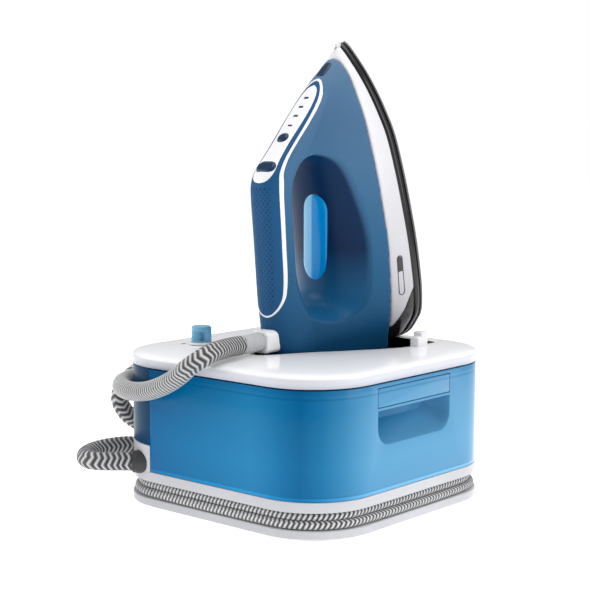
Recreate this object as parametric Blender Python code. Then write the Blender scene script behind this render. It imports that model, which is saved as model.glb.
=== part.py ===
"""Steam generator iron: a compact base with a pull-out water tank and a docked steam iron.

World frame: metres, +Z up, origin on the floor under the middle of the base, -Y the long
front face, +X the face that the water tank pulls out of.
Iron frame: x across, y from heel to tip along the sole, z from the sole up to the handle.
"""

import math

import bmesh
import bpy
from mathutils import Matrix, Vector

# ---------------------------------------------------------------- driving dimensions, metres
MM = 0.001
GAP = 0.0003                 # between pieces that touch
SLIDE_GAP = 0.0015           # between the tank and what it slides past

BASE_SIDE = 0.232            # square base, across the tank faces
CORNER_RADIUS = 0.054
CORNER_STEPS = 7
WALL = 0.0025

FOOT_SHOWN = 0.0015          # foot height left under the base plate
FOOT_RADIUS = 0.0100
PLATE_THICKNESS = 0.0063
GROOVE_HEIGHT = 0.0136       # cord groove between the base plate and the housing
GROOVE_DEPTH = 0.0155
DECK_HEIGHT = 0.0082         # white band under the tank
TANK_HEIGHT = 0.0846
LID_HEIGHT = 0.0113
LID_BAND = 0.0063            # upright edge of the lid, below its rounded shoulder
REAR_SHARE_X = 0.0520        # depth of the fixed rear housing, from the back face
REAR_STEP_Z = 0.0510         # top of the white part of the rear housing

TANK_WALL = 0.0024
GRIP_WIDTH = 0.0925
GRIP_HEIGHT = 0.0272
GRIP_DEPTH = 0.0220
GRIP_TOP_DROP = 0.0215       # from the lid down to the grip recess
GRIP_SHIFT_Y = -0.0040
FLAP_THICKNESS = 0.0013
FLAP_ABOVE_GRIP = 0.0022      # from the grip recess up to the filler flap
TANK_ROOF = 0.0030           # tank's rim below the top of its cover
PORT_PLACE_Y = 0.0930        # water port between the tank and the rear housing
PORT_HEIGHT = 0.0125         # above the deck
PORT_BORE = 0.0052
PORT_BACK = 0.0160           # depth of the port behind the tank's back wall
PUMP_RADIUS = 0.0150
PUMP_LENGTH = 0.0500
PUMP_BACK_Y = -0.0300

SOLE_LENGTH = 0.2550
SOLE_HALF_WIDTH = 0.0549
HANDLE_HEIGHT = 0.1370
LEAN = math.radians(10.4)    # of the docked iron
IRON_HEEL = Vector((0.0, 0.0971, 0.1252))
SOLE_THICKNESS = 0.0029
SHIELD_TOP = 0.0095
SKIRT_WALL = 0.0024
INLAY_DEPTH = 0.0016
TRIM_WIDTH = 0.0015
LENS_HALF = (0.0125, 0.0370) # half width and half length of the lens in the finger hole
LENS_DEPTH = 0.0070
HOLE_CROWN = 10.0            # drop of the hole's floor sideways, metres per square metre
BUTTON_LIFT = 0.0012
BUTTON_FOOT = 0.0040         # depth of a key's foot under the panel
MODE_ALONG = 0.0150          # places from the panel's knee down its slope
SETTINGS_ALONG = 0.0455
LIGHTS_ALONG = (0.0585, 0.0688, 0.0785, 0.0884)
MODE_HALF = (0.0094, 0.0050)
SETTINGS_HALF = (0.0052, 0.0044)
LIGHT_HALF = (0.0021, 0.0008)
TRIGGER_HALF = 0.0060
CONNECTOR_PLACE = Vector((0, -0.0470, 0.1346))
CONNECTOR_RADIUS = 0.0090
RELIEF_TIP = Vector((0, -0.0770, 0.1344))
RELIEF_RADIUS = 0.0078

SLOT_SIDE_ROOM = 0.0131      # the slot's half width over the sole's
SLOT_FRONT_Y = -0.0620
SLOT_BACK_Y = 0.1000
WELL_WALL = 0.0018
WELL_FLOOR_Z = 0.1000
WELL_SHELF_Z = 0.1168
UPSTAND_HEIGHT = 0.0120
BOILER_RADIUS = 0.0520
BOILER_HEIGHT = 0.0530
BOILER_LIFT = 0.0030         # over the deck
BOILER_X = 0.0080
STEAM_VALVE_PLACE = (-0.0180, -0.0120)
STEAM_VALVE_RADIUS = 0.0090

KNOB_PLACE = (-0.0700, -0.0510)
KNOB_RADIUS = 0.0078
KNOB_HEIGHT = 0.0135
KNOB_DISC_RADIUS = 0.0112
KNOB_DISC_HEIGHT = 0.0016
SHAFT_RADIUS = 0.0033

HOSE_DIAMETER = 0.0155
HOSE_GLAND_PLACE = Vector((-0.0790, -0.1130, 0.0355))
HOSE_GLAND_AXIS = Vector((-0.752, -0.659, 0.0))
HOSE_GLAND_RADIUS = 0.0095
HOSE_GLAND_REACH = 0.0060    # how far the gland stands out of the housing
HOSE_GLAND_DEPTH = 0.0070
CORD_DIAMETER = 0.0066
MAINS_GLAND_PLACE = Vector((-0.0849, 0.1112, 0.0400))
MAINS_GLAND_AXIS = Vector((-0.20, 0.98, 0.0))
MAINS_GLAND_RADIUS = 0.0058
MAINS_GLAND_REACH = 0.0260
CORD_LOWER_INSET = 0.0040    # centre of each turn of the wound cord, in from the base's outline
CORD_UPPER_INSET = 0.0065
PLUG_PLACE = Vector((-0.0250, 0.1890, 0.0040))

# ---------------------------------------------------------------- levels worked out from them
HALF = BASE_SIDE / 2
Z_PLATE = FOOT_SHOWN
Z_GROOVE = Z_PLATE + PLATE_THICKNESS
Z_DECK = Z_GROOVE + GROOVE_HEIGHT
Z_TANK = Z_DECK + DECK_HEIGHT
Z_LID = Z_TANK + TANK_HEIGHT
Z_TOP = Z_LID + LID_HEIGHT
Z_INSIDE = Z_TANK + GAP              # what stands on the deck
REAR_X = -HALF + REAR_SHARE_X
REAR_MIDDLE_X = (REAR_X - HALF) / 2
PUMP_Z = Z_INSIDE + PUMP_RADIUS + 0.0005
SLOT_HALF = SOLE_HALF_WIDTH + SLOT_SIDE_ROOM
INNER_HALF = SLOT_HALF + 0.0040      # inner face of the tank's arms
TANK_TOP = Z_LID - 0.0012
TANK_RIM = TANK_TOP - TANK_ROOF
TANK_PORT = Vector((REAR_X, PORT_PLACE_Y, Z_TANK + PORT_HEIGHT))
GRIP_TOP = Z_LID - GRIP_TOP_DROP
GRIP_BOTTOM = GRIP_TOP - GRIP_HEIGHT
GRIP_SIDES = (GRIP_SHIFT_Y - GRIP_WIDTH / 2, GRIP_SHIFT_Y + GRIP_WIDTH / 2)
FLAP_LEVELS = (GRIP_TOP + FLAP_ABOVE_GRIP, TANK_RIM)
BOILER_TOP = Z_TANK + BOILER_LIFT + BOILER_HEIGHT
FOOT_REACH = HALF - CORNER_RADIUS * 0.55
PLATE_CEILING = Z_GROOVE - WALL

# ---------------------------------------------------------------- iron outlines, millimetres
# They are drawn for a sole 255 long and 54.9 to each side, with the handle 137 high.
IRON_SCALE = Vector((SOLE_HALF_WIDTH / 54.9, SOLE_LENGTH / 255.0, HANDLE_HEIGHT / 137.0))

# Half outline of the sole, heel to tip: x, y.
SOLE_LINE = [
    (0, 0), (24, 0.5), (37, 6.5), (45.5, 16), (51.6, 25.7), (54.6, 44), (54.9, 66), (54, 90),
    (52, 113), (48.3, 145), (42.5, 178), (36.8, 194.5), (30, 210.5), (21.5, 226.5),
    (11, 242.5), (3, 252.8), (0, 255),
]
# Where the skirt meets the body, matched point for point to the sole: x, y, z.
WAIST_LINE = [
    (0, 1, 33.5), (24, 2, 33.5), (35, 7, 33.5), (40, 15, 33.5), (44.3, 28, 33.5),
    (47.3, 48, 33.5), (49, 72, 33.5), (50, 95, 33.5), (49.2, 112, 33.4), (45.5, 145, 32),
    (39.5, 178, 29.8), (35, 194, 27.8), (28.3, 210, 25.2), (19.5, 227, 21.6),
    (10, 238.5, 19.2), (3, 243.5, 18.6), (0, 244, 18.5),
]
# Body and handle along the iron: y, waist half width, waist height, handle half width, top.
BODY_LINE = [
    (-18.9, 25, 34, 13, 137), (-15.5, 31.5, 34, 16.4, 137), (-9, 36, 34, 18.2, 137),
    (0, 38, 34, 18.8, 137), (12, 39.6, 34, 19, 137), (26, 43.4, 34, 19, 137),
    (45, 46.8, 34, 19, 137), (60, 48.2, 34, 19, 136.6), (78, 49.4, 34, 19, 135),
    (95, 49.9, 34, 19, 133.3), (112, 49.1, 33.9, 19, 131.6), (130, 47.4, 33.2, 19, 130),
    (148, 45, 32.3, 18.8, 128.5), (158, 43.3, 31.8, 18.3, 127), (165, 42, 31.3, 17.8, 123.4),
    (172, 40.6, 30.8, 17, 116.2), (183, 38, 29.8, 16, 101.5), (196, 34.2, 28, 15.2, 84.5),
    (209, 28.6, 25.8, 14, 67.5), (220, 23.2, 23.6, 12, 53.2), (228, 18.6, 21.9, 9.6, 42.8),
    (234, 14.2, 20.7, 7, 34.4), (239, 9.4, 19.7, 4.6, 27), (243, 4, 19.2, 2, 20.6),
]
BODY_SHOULDER = 105.0        # height where the flank reaches the handle's half width
BODY_ROUND = 2.6             # exponent of the handle's rounding

# Side outline of the finger hole on the flank, and how it shrinks towards the middle: y, z.
HOLE_LINE = [
    (177, 73), (168, 57), (136, 51), (78, 50.5), (45, 57), (37, 78), (46, 104), (73, 116),
    (110, 114.5), (150, 108.5), (170, 93),
]
HOLE_FLANK_MIDDLE = (107.0, 83.0)
HOLE_INNER_MIDDLE = (107.0, 85.5)
HOLE_INNER_SHARE = (0.86, 0.54)

# Half outlines of the handle's inlays in plan: y, x.
TRIM_LINE = [
    (53.5, 0), (55, 5.5), (59.6, 11), (67, 14.6), (77, 15.9), (110, 16.4), (150, 16.6),
    (160, 16.2), (169, 14.8), (179, 13.5), (188, 13.4), (198, 13.6), (209, 13.2),
    (217, 11.8), (224, 8.6), (228.6, 4), (230, 0),
]
PANEL_LINE = [
    (161, 0), (161.7, 4.8), (164.2, 8.6), (169, 10.2), (177, 9.2), (186, 8.6), (195, 9),
    (204, 9.4), (212, 9), (219, 7.4), (223.6, 4.2), (225.5, 0),
]
NOSE_LINE = [(231.5, 0), (231.8, 4), (236, 4.6), (240, 3.2), (240.6, 0)]


# ---------------------------------------------------------------- helpers
def clear_scene():
    for thing in list(bpy.data.objects):
        bpy.data.objects.remove(thing, do_unlink=True)


def material(name, colour, roughness=0.4, metallic=0.0, alpha=1.0):
    made = bpy.data.materials.new(name)
    made.use_nodes = True
    shader = made.node_tree.nodes["Principled BSDF"]
    shader.inputs["Base Color"].default_value = (*colour, 1.0)
    shader.inputs["Roughness"].default_value = roughness
    shader.inputs["Metallic"].default_value = metallic
    shader.inputs["Alpha"].default_value = alpha
    made.diffuse_color = (*colour, alpha)
    made.roughness = roughness
    made.metallic = metallic
    return made


def new_object(name, mesh, look=None, parent=None, smooth=math.radians(35)):
    thing = bpy.data.objects.new(name, mesh)
    bpy.context.scene.collection.objects.link(thing)
    if look is not None:
        mesh.materials.append(look)
    if smooth:
        mesh.shade_smooth()
        mesh.set_sharp_from_angle(angle=smooth)
    thing.parent = parent
    return thing


def mesh_from(name, shape):
    bmesh.ops.recalc_face_normals(shape, faces=shape.faces)
    mesh = bpy.data.meshes.new(name)
    shape.to_mesh(mesh)
    shape.free()
    return mesh


def loft(name, loops, look=None, parent=None, ring=False):
    """Join loops of 3-D points of equal count: capped at both ends, or closed as a ring."""
    shape = bmesh.new()
    rows = [[shape.verts.new(point) for point in loop] for loop in loops]
    pairs = list(zip(rows, rows[1:]))
    if ring:
        pairs.append((rows[-1], rows[0]))
    else:
        shape.faces.new(rows[0])
        shape.faces.new(rows[-1])
    for low, high in pairs:
        for i in range(len(low)):
            j = (i + 1) % len(low)
            shape.faces.new((low[i], low[j], high[j], high[i]))
    return new_object(name, mesh_from(name, shape), look, parent)


def level(outline, z):
    return [(x, y, z) for x, y in outline]


def prism(name, outline, z0, z1, look=None, parent=None):
    return loft(name, [level(outline, z0), level(outline, z1)], look, parent)


def turned(name, profile, look=None, parent=None, steps=24):
    """A solid turned about its own Z from (radius, z) points; a zero radius closes it."""
    shape = bmesh.new()
    rings = []
    for radius, z in profile:
        if radius == 0:
            rings.append([shape.verts.new((0, 0, z))])
            continue
        angles = [math.tau * i / steps for i in range(steps)]
        rings.append([
            shape.verts.new((radius * math.cos(a), radius * math.sin(a), z)) for a in angles
        ])
    closed = profile[0][0] != 0
    pairs = list(zip(rings, rings[1:]))
    if closed:
        pairs.append((rings[-1], rings[0]))
    for low, high in pairs:
        for i in range(steps):
            j = (i + 1) % steps
            corners = [low[i % len(low)], low[j % len(low)], high[j % len(high)], high[i % len(high)]]
            shape.faces.new(list(dict.fromkeys(corners)))
    return new_object(name, mesh_from(name, shape), look, parent)


def box(name, low, high, look=None, parent=None, bevel=0.0):
    outline = [(low[0], low[1]), (high[0], low[1]), (high[0], high[1]), (low[0], high[1])]
    made = prism(name, outline, low[2], high[2], look, parent)
    if bevel:
        round_edges(made, bevel)
    return made


def round_edges(thing, width, segments=2, angle=40):
    bevel = thing.modifiers.new("round", "BEVEL")
    bevel.width = width
    bevel.segments = segments
    bevel.limit_method = "ANGLE"
    bevel.angle_limit = math.radians(angle)


def hide(cutter):
    cutter.hide_render = True
    cutter.display_type = "WIRE"
    return cutter


def combine(thing, other, operation="DIFFERENCE"):
    change = thing.modifiers.new(operation.lower(), "BOOLEAN")
    change.operation = operation
    change.solver = "EXACT"
    change.object = hide(other)


def place(thing, where, axis=None):
    """Move a piece to a point, with its own Z turned to an axis."""
    thing.location = where
    if axis is not None:
        thing.rotation_euler = Vector(axis).to_track_quat("Z", "Y").to_euler()
    return thing


def arc(centre, radius, start, end, steps):
    """Points on an arc, angles in degrees."""
    angles = [math.radians(start + (end - start) * i / steps) for i in range(steps + 1)]
    return [(centre[0] + radius * math.cos(a), centre[1] + radius * math.sin(a)) for a in angles]


def rounded_box(x0, x1, y0, y1, radius, steps=4):
    """Outline of a rectangle with round corners, counter-clockwise."""
    corners = [(x1, y0, -90), (x1, y1, 0), (x0, y1, 90), (x0, y0, 180)]
    points = []
    for x, y, start in corners:
        centre = (
            x - math.copysign(radius, x - (x0 + x1) / 2),
            y - math.copysign(radius, y - (y0 + y1) / 2),
        )
        points += arc(centre, radius, start, start + 90, steps)
    return points


def base_outline(offset=0.0):
    side = HALF + offset
    return rounded_box(-side, side, -side, side, CORNER_RADIUS + offset, CORNER_STEPS)


def clip_x(outline, limit, keep_above):
    """Cut an outline at an x value and keep one side of it."""
    kept = []
    for (x0, y0), (x1, y1) in zip(outline, outline[1:] + outline[:1]):
        inside0 = (x0 >= limit) == keep_above
        inside1 = (x1 >= limit) == keep_above
        if inside0:
            kept.append((x0, y0))
        if inside0 != inside1:
            share = (limit - x0) / (x1 - x0)
            kept.append((limit, y0 + (y1 - y0) * share))
    return kept


def smooth_line(points, steps, closed=False):
    """Centripetal Catmull-Rom curve through the points, with a number of steps per span."""
    pts = [Vector(p) for p in points]
    if closed:
        ends = [pts[-1]] + pts + [pts[0], pts[1]]
    else:
        ends = [pts[0] * 2 - pts[1]] + pts + [pts[-1] * 2 - pts[-2]]
    made = []
    for a, b, c, d in zip(ends, ends[1:], ends[2:], ends[3:]):
        t1 = (b - a).length ** 0.5
        t2 = t1 + (c - b).length ** 0.5
        t3 = t2 + (d - c).length ** 0.5
        for i in range(steps):
            t = t1 + (t2 - t1) * i / steps
            ab = a * ((t1 - t) / t1) + b * (t / t1)
            bc = b * ((t2 - t) / (t2 - t1)) + c * ((t - t1) / (t2 - t1))
            cd = c * ((t3 - t) / (t3 - t2)) + d * ((t - t2) / (t3 - t2))
            abc = ab * ((t2 - t) / t2) + bc * (t / t2)
            bcd = bc * ((t3 - t) / (t3 - t1)) + cd * ((t - t1) / (t3 - t1))
            made.append(abc * ((t2 - t) / (t2 - t1)) + bcd * ((t - t1) / (t2 - t1)))
    if not closed:
        made.append(pts[-1])
    return made


def spaced(line, spacing):
    """The same line as points at an even spacing."""
    length = sum((b - a).length for a, b in zip(line, line[1:]))
    count = max(2, round(length / spacing))
    step = length / count
    made = [line[0].copy()]
    walked = 0.0
    for a, b in zip(line, line[1:]):
        span = (b - a).length
        while len(made) < count and walked + span >= step * len(made):
            made.append(a.lerp(b, (step * len(made) - walked) / span))
        walked += span
    made.append(line[-1].copy())
    return made


def tube(name, route, diameter, look, spacing=None, sides=3):
    """A round tube along a smooth curve through the route's points."""
    line = smooth_line(route, 12)
    points = spaced(line, spacing or diameter * 2.2)
    points.insert(1, line[0] + (line[1] - line[0]).normalized() * diameter / 4)
    points.insert(-1, line[-1] + (line[-2] - line[-1]).normalized() * diameter / 4)
    curve = bpy.data.curves.new(name, "CURVE")
    curve.dimensions = "3D"
    curve.bevel_depth = diameter / 2
    curve.bevel_resolution = sides
    curve.use_fill_caps = True
    spline = curve.splines.new("POLY")
    spline.points.add(len(points) - 1)
    for target, point in zip(spline.points, points):
        target.co = (*point, 1.0)
    curve.materials.append(look)
    thing = bpy.data.objects.new(name, curve)
    bpy.context.scene.collection.objects.link(thing)
    return thing


def mirrored(half):
    """A closed outline from a half outline whose first and last points lie on x = 0."""
    return half + [Vector((-p[0], *p[1:])) for p in reversed(half[1:-1])]


def inset_loop(loop, distance):
    """Move a closed loop inward in plan by a distance."""
    made = []
    area = sum(a[0] * b[1] - b[0] * a[1] for a, b in zip(loop, loop[1:] + loop[:1]))
    turn = math.copysign(1.0, area)
    for i, point in enumerate(loop):
        before, after = loop[i - 1], loop[(i + 1) % len(loop)]
        along = Vector((after[0] - before[0], after[1] - before[1])).normalized()
        inward = Vector((-along.y, along.x)) * turn * distance
        made.append(Vector((point[0] + inward.x, point[1] + inward.y, *point[2:])))
    return made


def iron_point(x, y, z=0.0):
    return Vector((x * IRON_SCALE.x, y * IRON_SCALE.y, z * IRON_SCALE.z))


# ---------------------------------------------------------------- base
def open_slab(name, look, outline, low, high, edge, inside):
    """A slab with its upper edge eased and an open underside; inside is its wall and ceiling."""
    wall, ceiling = inside
    loops = [
        level(outline(-wall), ceiling), level(outline(-wall), low), level(outline(0), low),
        level(outline(0), high - edge), level(outline(-edge), high),
    ]
    return loft(name, loops, look)


def base_plate(look):
    return open_slab(
        "base_plate", look, lambda o: base_outline(o + 0.0008), Z_PLATE, Z_GROOVE, 0.0010,
        (WALL, PLATE_CEILING),
    )


def cord_drum(look):
    outer, inner = base_outline(-GROOVE_DEPTH), base_outline(-GROOVE_DEPTH - WALL)
    low, high = Z_GROOVE + GAP, Z_DECK - GAP
    loops = [level(outer, low), level(outer, high), level(inner, high), level(inner, low)]
    return loft("cord_drum", loops, look, ring=True)


def rear_outline(offset, front_x):
    return clip_x(base_outline(offset), front_x, keep_above=False)


def rear_shell(name, look, offset, front_x, low, high):
    """The C-shaped wall round the back of the base, open to the front."""
    shell = prism(name, rear_outline(offset, front_x), low, high, look)
    room = prism(name + "_room", rear_outline(offset - WALL, front_x + 0.01), low - 0.01, high + 0.01)
    combine(shell, room)
    return shell


def lower_housing(look):
    ceiling = Z_TANK - WALL
    deck = open_slab(
        "lower_housing", look, lambda o: base_outline(o + 0.0003), Z_DECK, Z_TANK, 0.0008,
        (WALL, ceiling),
    )
    step = rear_shell("rear_step", look, 0.0002, REAR_X - GAP, Z_TANK - 0.0020, REAR_STEP_Z)
    for where, axis, radius in (
        (HOSE_GLAND_PLACE, HOSE_GLAND_AXIS, HOSE_GLAND_RADIUS),
        (MAINS_GLAND_PLACE, MAINS_GLAND_AXIS, MAINS_GLAND_RADIUS),
    ):
        for wall in (deck, step):
            combine(wall, gland_bore(where, axis, radius))
    combine(deck, step, "UNION")
    return deck


def gland_bore(where, axis, radius):
    reach = 0.02
    profile = [(0, -reach), (radius + GAP, -reach), (radius + GAP, reach), (0, reach)]
    return place(turned("gland_bore", profile), where, axis)


def rear_cover(look):
    return rear_shell("rear_cover", look, 0.0, REAR_X - GAP, REAR_STEP_Z + GAP, Z_LID - GAP)


def slot_half_line():
    """Half outline of the dock slot, from its front tip to the middle of its back edge."""
    reach = SLOT_BACK_Y - SLOT_FRONT_Y
    shares = [
        (0, 0), (0.075, 0.012), (0.185, 0.080), (0.315, 0.2), (0.575, 0.372), (0.865, 0.582),
        (0.985, 0.722), (1, 0.83), (0.985, 0.92), (0.90, 0.985), (0.75, 1), (0, 1),
    ]
    return [Vector((SLOT_HALF * x, SLOT_FRONT_Y + reach * y)) for x, y in shares]


def slot_outline(offset=0.0):
    half = smooth_line(slot_half_line()[:-1], 2) + [slot_half_line()[-1]]
    loop = mirrored(half)
    return [(p.x, p.y) for p in inset_loop(loop, -offset)]


def top_cover(look):
    edge = LID_HEIGHT - LID_BAND
    shoulder = [(0, LID_BAND), (0.0006, 0.42), (0.0022, 0.70), (0.0048, 0.86)]
    loops = [level(base_outline(-WALL), Z_TOP - 0.0042), level(base_outline(-WALL), Z_LID)]
    loops.append(level(base_outline(0.0006), Z_LID))
    loops.append(level(base_outline(0.0006), Z_LID + LID_BAND))
    for inset, share in shoulder[1:]:
        loops.append(level(base_outline(0.0006 - inset), Z_LID + LID_BAND + edge * share * 0.72))
    loops.append(level(base_outline(-0.0100), Z_TOP - 0.0011))
    loops.append(level(base_outline(-0.0300), Z_TOP))
    cover = loft("top_cover", loops, look)
    combine(cover, prism("slot_cut", slot_outline(), Z_LID - 0.01, Z_TOP + 0.01))
    for side in (-1, 1):
        combine(cover, upstand(side), "UNION")
    x, y = KNOB_PLACE
    radius, top = SHAFT_RADIUS + 0.0004, Z_TOP + 0.01
    bore = turned("shaft_bore", [(0, Z_LID), (radius, Z_LID), (radius, top), (0, top)])
    combine(cover, place(bore, (x, y, 0)))
    return cover


def upstand(side):
    """The little upright at each back corner of the slot that guides the iron's sole."""
    x = side * (SLOT_HALF + 0.0042)
    low, high = (x - 0.0040, 0.0550, Z_TOP - 0.0030), (x + 0.0040, 0.0655, Z_TOP + UPSTAND_HEIGHT)
    return box("upstand_left" if side < 0 else "upstand_right", low, high, bevel=0.0015)


def dock_well(look):
    """The black basin under the slot: deep for the heel, shallow over the tank's back arm."""
    rim, floor, shelf = Z_TOP - 0.0045, WELL_FLOOR_Z, WELL_SHELF_Z
    shelf_y = INNER_HALF - SLIDE_GAP
    outer = prism("dock_well", slot_outline(-GAP), floor - WELL_WALL, Z_TOP - 0.0006, look)
    flange = prism("well_flange", slot_outline(0.0060), rim - 0.0015, rim)
    combine(outer, flange, "UNION")
    under = box("well_under", (-0.1, shelf_y, floor - 0.02), (0.1, 0.12, shelf - WELL_WALL))
    combine(outer, under)
    room = prism("well_room", slot_outline(-GAP - WELL_WALL), floor, Z_TOP + 0.01)
    keep = box("well_keep", (-0.1, shelf_y - WELL_WALL, floor - 0.02), (0.1, 0.12, shelf))
    combine(room, keep)
    combine(outer, room)
    return outer


def inner_housing(look):
    """The fixed wall round the boiler, inside the U of the tank."""
    outer_half = INNER_HALF - SLIDE_GAP
    outer = rounded_box(-0.2, outer_half, -outer_half, outer_half, 0.0050, 3)
    inner_side = outer_half - 0.0020
    inner = rounded_box(-0.3, inner_side, -inner_side, inner_side, 0.0030, 3)
    low, high = Z_INSIDE, WELL_FLOOR_Z - WELL_WALL - GAP
    wall = prism("inner_housing", clip_x(outer, REAR_X, keep_above=True), low, high, look)
    combine(wall, prism("housing_room", inner, low - 0.01, high + 0.01))
    return wall


def feet(look):
    reach, top = FOOT_REACH, PLATE_CEILING - GAP
    places = {"front_left": (-1, -1), "front_right": (1, -1), "rear_left": (-1, 1), "rear_right": (1, 1)}
    for name, (sx, sy) in places.items():
        profile = [(0, 0), (FOOT_RADIUS - 0.001, 0), (FOOT_RADIUS, 0.001), (FOOT_RADIUS, top), (0, top)]
        place(turned("foot_" + name, profile, look, steps=20), (sx * reach, sy * reach, 0))


def base_screws(look):
    """Screws driven up through the base plate into the housing, beside the feet."""
    reach, top = FOOT_REACH, PLATE_CEILING - GAP
    for name, sx, sy in (("one", -1, -1), ("two", 1, -1), ("three", -1, 1), ("four", 1, 1)):
        profile = [(0, top - 0.0024), (0.0032, top - 0.0024), (0.0032, top), (0, top)]
        screw = turned("base_screw_" + name, profile, look, steps=12)
        place(screw, (sx * (reach - 0.022), sy * (reach - 0.004), 0))


# ---------------------------------------------------------------- lock of the docked iron
def lock_parts(blue, white, steel):
    x, y = KNOB_PLACE
    base = Z_TOP + GAP
    disc_top = base + KNOB_DISC_HEIGHT
    disc = turned("lock_disc", [
        (0.0042, base), (KNOB_DISC_RADIUS, base), (KNOB_DISC_RADIUS, disc_top - 0.0005),
        (KNOB_DISC_RADIUS - 0.0006, disc_top), (0.0042, disc_top),
    ], white)
    place(disc, (x, y, 0))
    low, high = disc_top + GAP, disc_top + KNOB_HEIGHT
    knob = turned("lock_knob", [
        (0, low), (KNOB_RADIUS, low), (KNOB_RADIUS, high - 0.0012), (KNOB_RADIUS - 0.0012, high),
        (0, high),
    ], blue)
    place(knob, (x, y, 0))
    notch_low, notch_high = low - 0.01, high - 0.0030
    notch = box("knob_notch", (x - 0.02, y - 0.02, notch_low), (x + 0.02, y + 0.02, notch_high))
    for radius, dx, dy in ((0.0046, -0.0026, -0.0022), (0.0034, 0.0041, 0.0030)):
        post = turned("knob_post", [(0, -0.02), (radius, -0.02), (radius, 0.02), (0, 0.02)])
        combine(notch, place(post, (x + dx, y + dy, low + 0.01)))
    combine(knob, notch)
    shaft_low = Z_LID - 0.0010
    shaft = turned("lock_shaft", [
        (0, shaft_low), (SHAFT_RADIUS, shaft_low), (SHAFT_RADIUS, low - GAP), (0, low - GAP),
    ], steel)
    place(shaft, (x, y, 0))


# ---------------------------------------------------------------- water tank
def tank_outline(offset):
    return clip_x(base_outline(offset), REAR_X, keep_above=True)


def tank_inner_outline(offset):
    side = INNER_HALF - offset
    return rounded_box(-0.2, side, -side, side, 0.0060, 3)


def grip_outline(extra=0.0):
    """Front view of the grip recess, square above and round below: y, z."""
    radius = GRIP_HEIGHT / 2
    y0, y1 = GRIP_SIDES[0] - extra, GRIP_SIDES[1] + extra
    z0, z1 = GRIP_BOTTOM - extra, GRIP_TOP + extra
    lower_right = arc((y1 - radius, z0 + radius), radius, -90, 0, 5)
    lower_left = arc((y0 + radius, z0 + radius), radius, 180, 270, 5)
    return lower_left + lower_right + [(y1, z1), (y0, z1)]


def grip_scoop(name, extra=0.0):
    """A pocket whose floor climbs inward from the recess's lower edge."""
    outline = grip_outline(extra)
    front = [(HALF + 0.01, y, z) for y, z in outline]
    middle = GRIP_SHIFT_Y
    top = GRIP_TOP + extra

    def station(depth, lift, squeeze):
        loop = []
        for y, z in outline:
            share = (top - z) / (GRIP_HEIGHT + 2 * extra)
            loop.append((HALF - depth, middle + (y - middle) * squeeze, z + lift * share))
        return loop
    back = GRIP_DEPTH + extra
    loops = [front, station(0, 0, 1), station(back * 0.55, 0.0060, 0.96), station(back, 0.0150, 0.86)]
    return loft(name, loops)


def flap_opening(name, room, depth_in):
    """The seat of the filler flap in the tank's face."""
    (y0, y1), (low, high) = GRIP_SIDES, FLAP_LEVELS
    return box(name, (HALF - depth_in, y0 - room, low - room), (HALF + 0.01, y1 + room, high + room))


def water_tank(look):
    low, top = Z_INSIDE, TANK_RIM
    tank = prism("water_tank", tank_outline(0), low, top, look)
    combine(tank, prism("tank_inside_of_u", tank_inner_outline(0), low - 0.01, top + 0.01))
    room = prism("tank_room", clip_x(base_outline(-TANK_WALL), REAR_X + TANK_WALL, True),
                 low + TANK_WALL, top + 0.01)
    combine(room, prism("tank_room_inside", tank_inner_outline(-TANK_WALL), low - 0.01, top + 0.02))
    combine(room, grip_scoop("scoop_wall", TANK_WALL))
    y0, y1 = GRIP_SIDES
    seat_x = HALF - FLAP_THICKNESS - 0.0032
    combine(room, box("flap_seat_wall", (seat_x, y0 - 0.003, GRIP_TOP - 0.001),
                      (HALF + 0.01, y1 + 0.003, top + 0.02)))
    combine(tank, room)
    combine(tank, grip_scoop("scoop_cut"))
    combine(tank, flap_opening("flap_seat", GAP, FLAP_THICKNESS + 0.0006))
    rim = 0.0040
    filler = box("filler_hole", (HALF - 0.02, y0 + 3 * rim, FLAP_LEVELS[0] + rim),
                 (HALF + 0.01, y1 - 3 * rim, FLAP_LEVELS[1] - rim))
    combine(tank, filler)
    profile = [(0, -0.01), (PORT_BORE, -0.01), (PORT_BORE, 0.01), (0, 0.01)]
    combine(tank, place(turned("tank_valve_bore", profile), TANK_PORT, (-1, 0, 0)))
    return tank


def tank_cover(look):
    low = TANK_RIM + GAP
    cover = prism("tank_cover", tank_outline(-0.0006), low, TANK_TOP, look)
    combine(cover, prism("cover_inside", tank_inner_outline(-0.0006), low - 0.01, TANK_TOP + 0.01))
    return cover


def tank_flap(look):
    (y0, y1), (low, high) = GRIP_SIDES, FLAP_LEVELS
    box("tank_flap", (HALF - FLAP_THICKNESS, y0 + GAP, low + GAP), (HALF, y1 - GAP, high - GAP), look)


def tank_valve(black):
    radius, collar = PORT_BORE - GAP, PORT_BORE + 0.0018
    profile = [
        (0.0020, -0.0090), (radius, -0.0090), (radius, -0.0003), (collar, -0.0003), (collar, 0.0012),
        (radius, 0.0012), (radius - 0.0005, 0.0075), (0.0020, 0.0075),
    ]
    where = TANK_PORT + Vector((-2 * GAP, 0, 0))
    place(turned("tank_valve", profile, black, steps=20), where, (-1, 0, 0))


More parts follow.
